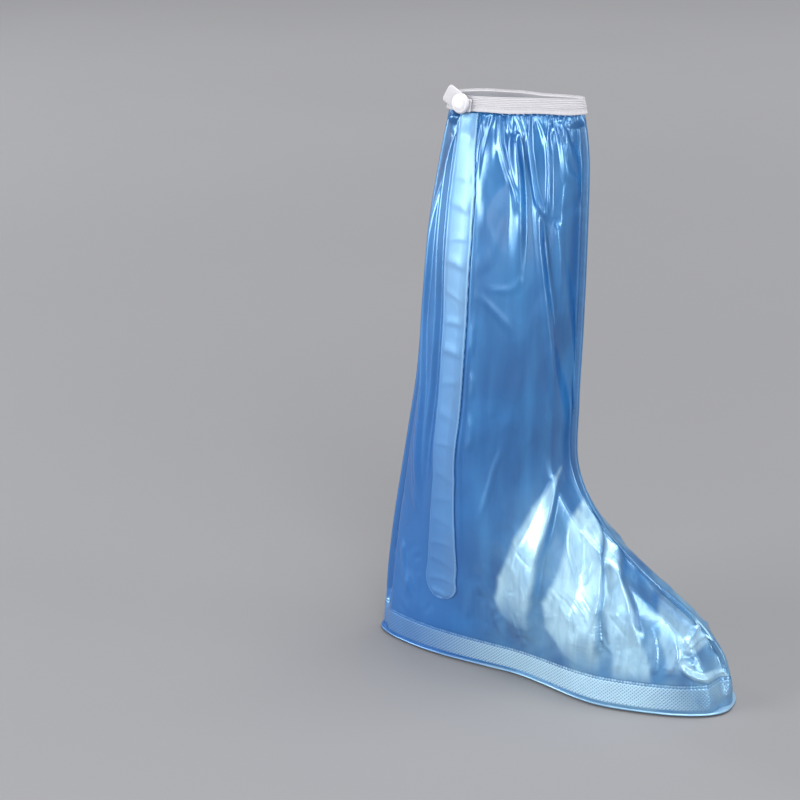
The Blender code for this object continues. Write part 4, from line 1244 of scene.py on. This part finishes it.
def makeTab():
    rows, columns, coarse = snap["tabGrid"]
    along = np.linspace(0, 1, rows + 1)
    across = np.linspace(-1, 1, columns + 1)
    distance = along * (snap["tabRoot"] + snap["tabReach"]) - snap["tabRoot"]
    # the strap follows the band, then bends up beyond the snap
    angle = math.radians(snap["tabLift"]) * smoothStep((distance + 0.0035) / 0.007)
    step = np.diff(distance, prepend=distance[0])
    x = -snap["tabRoot"] + np.cumsum(step * np.cos(angle))
    y = np.cumsum(step * np.sin(angle))
    halfWidth = mix(shell["bandHeight"] / 2 - 0.0003, snap["tabWidth"] / 2, smoothStep(along * 1.6))
    corner = snap["tabCorner"]
    ends = np.minimum(distance - distance[0] + 0.0001, distance[-1] - distance + 0.0001)
    rounding = corner - np.sqrt(np.clip(corner ** 2 - np.clip(corner - ends, 0, corner) ** 2, 0, None))
    halfWidth = halfWidth - np.where(distance > 0, rounding, rounding * 0.3)
    sideX = x[:, None] - np.sin(angle)[:, None] * across * halfWidth[:, None]
    sideY = y[:, None] + np.cos(angle)[:, None] * across * halfWidth[:, None] - 0.0006
    endRound = np.sqrt(np.clip(1 - (1 - np.clip(ends / 0.0006, 0, 1)) ** 2, 0.05, 1))
    thick = snap["tabWall"] * (0.45 + 0.55 * (1 - np.abs(across) ** 14) * endRound[:, None])
    curl = 0.0011 * smoothStep((distance - 0.006) / 0.009)[:, None] + 0.0003 * np.cos(across * 2.0)
    hem = 0.00013 * np.exp(-((np.abs(across) - 0.86) / 0.03) ** 2)
    seat = snap["gap"] + curl * 0.4
    every = slice(None, None, coarse)
    addWall("snapTab", onSnap(sideX, sideY, seat + thick - hem),
            onSnap(sideX[every, every], sideY[every, every], seat[every, every]), coarse,
            np.stack([sideX, sideY], -1), elasticMaterial, ["band_tab"])


def makeButton():
    radius = snap["diameter"] / 2
    seat = snap["gap"] + snap["tabWall"] + snap["gap"]
    crown = seat + snap["height"]
    # radius and distance out, from the seat round the rim to the crown
    profile = [(0.0022, seat - snap["gap"])]
    profile += [(radius * share, seat + rise) for share, rise in snap["rim"]]
    profile += [(radius * share, crown - drop) for share, drop in snap["crown"]] + [(0.00002, crown)]
    angle = -2 * math.pi * np.arange(snap["sides"]) / snap["sides"]
    points = np.concatenate([onSnap(size * np.cos(angle), size * np.sin(angle), np.full_like(angle, out))
                             for size, out in profile])
    faces = ringFaces(len(profile), snap["sides"])
    addPiece("snapButton", points, faces, buttonMaterial, ["snap_button"])


makeTab()
makeButton()
print("snap made")

# stage: floor, lights and camera

stage = {
    "floorSize": 14.0,
    "floorColour": (0.228, 0.229, 0.238),
    "farFloorLight": (0.425, 0.425, 0.44),
    "worldColour": (0.42, 0.43, 0.45),
    "worldStrength": 0.45,
    "cameraPlace": (-1.0392, -0.3825, 0.641),
    "heading": 26.0,
    "pitch": 21.4,
    "lens": 76.5,
    "aim": (0.0, 0.02, 0.2),
    # name, place, size, watts, colour
    "lights": (
        ("keyBox", (-2.12, 2.42, 0.92), (1.5, 1.9), 104, (1.0, 1.0, 1.0)),
        ("frontBox", (-3.2, -0.2, 0.34), (2.2, 0.5), 9, (1.0, 1.0, 1.0)),
        ("rightBox", (-2.2, -3.9, 0.60), (1.3, 1.3), 66, (1.0, 1.0, 1.0)),
        ("upperBox", (-3.2, -2.2, 3.3), (2.2, 1.8), 120, (1.0, 1.0, 1.0)),
        ("topBox", (0.3, -0.8, 5.2), (3.0, 3.0), 290, (1.0, 1.0, 1.0)),
        ("rearStrip", (0.45, 3.2, 1.25), (0.4, 2.5), 25, (1.0, 1.0, 1.0)),
        ("sideBox", (1.0, -6.0, 2.6), (1.2, 4.0), 50, (0.95, 0.97, 1.0)),
    ),
}


def aimAt(thing, target):
    direction = Vector(target) - thing.location
    thing.rotation_mode = "QUATERNION"
    thing.rotation_quaternion = direction.to_track_quat("-Z", "Y")


def makeFloor():
    half = stage["floorSize"] / 2
    mesh = bpy.data.meshes.new("floor")
    corners = [(-half, -half, 0), (half, -half, 0), (half, half, 0), (-half, half, 0)]
    mesh.from_pydata(corners, [], [[0, 1, 2, 3]])
    material, tree, shader = newMaterial("floorPaint")
    place = objectPlace(tree)
    distance = addNode(tree, "ShaderNodeVectorMath", {0: place}, "Value", operation="LENGTH")
    # painted light: the floor grows paler away from the boot, making up for the lamps' falloff
    floorWithFarLight = blended(tree, ranged(tree, distance, 0.3, 4.0), stage["floorColour"], stage["farFloorLight"])
    tint = colourRamp(tree, noise(tree, place, 1.5, 3.0), [(0.3, (0.97, 0.97, 0.97)), (0.7, (1.0, 1.0, 1.0))])
    setInputs(tree, shader, {"Base Color": blended(tree, 1.0, floorWithFarLight, tint, "MULTIPLY"), "Roughness": 0.8,
                             "Specular IOR Level": 0.12})
    mesh.materials.append(material)
    floor = addObject("floor", mesh)


def makeLights():
    world = bpy.data.worlds.new("studio")
    world.use_nodes = True
    setInputs(world.node_tree, world.node_tree.nodes["Background"],
              {"Color": stage["worldColour"], "Strength": stage["worldStrength"]})
    bpy.context.scene.world = world
    for name, spot, size, watts, colour in stage["lights"]:
        light = bpy.data.lights.new(name, "AREA")
        light.shape = "RECTANGLE"
        light.size, light.size_y = size
        light.energy = watts
        light.color = colour
        lamp = addObject(name, light)
        lamp.location = spot
        aimAt(lamp, stage["aim"])


def makeCamera():
    camera = bpy.data.cameras.new("camera")
    camera.lens = stage["lens"]
    camera.sensor_width = 36.0
    holder = addObject("camera", camera)
    holder.location = stage["cameraPlace"]
    heading, pitch = math.radians(stage["heading"]), math.radians(stage["pitch"])
    aimAt(holder, holder.location + Vector((math.cos(heading), math.sin(heading), -math.tan(pitch))))
    bpy.context.scene.camera = holder


makeFloor()
makeLights()
makeCamera()
bpy.context.scene.view_settings.view_transform = "Standard"
print("stage, lights and camera set")
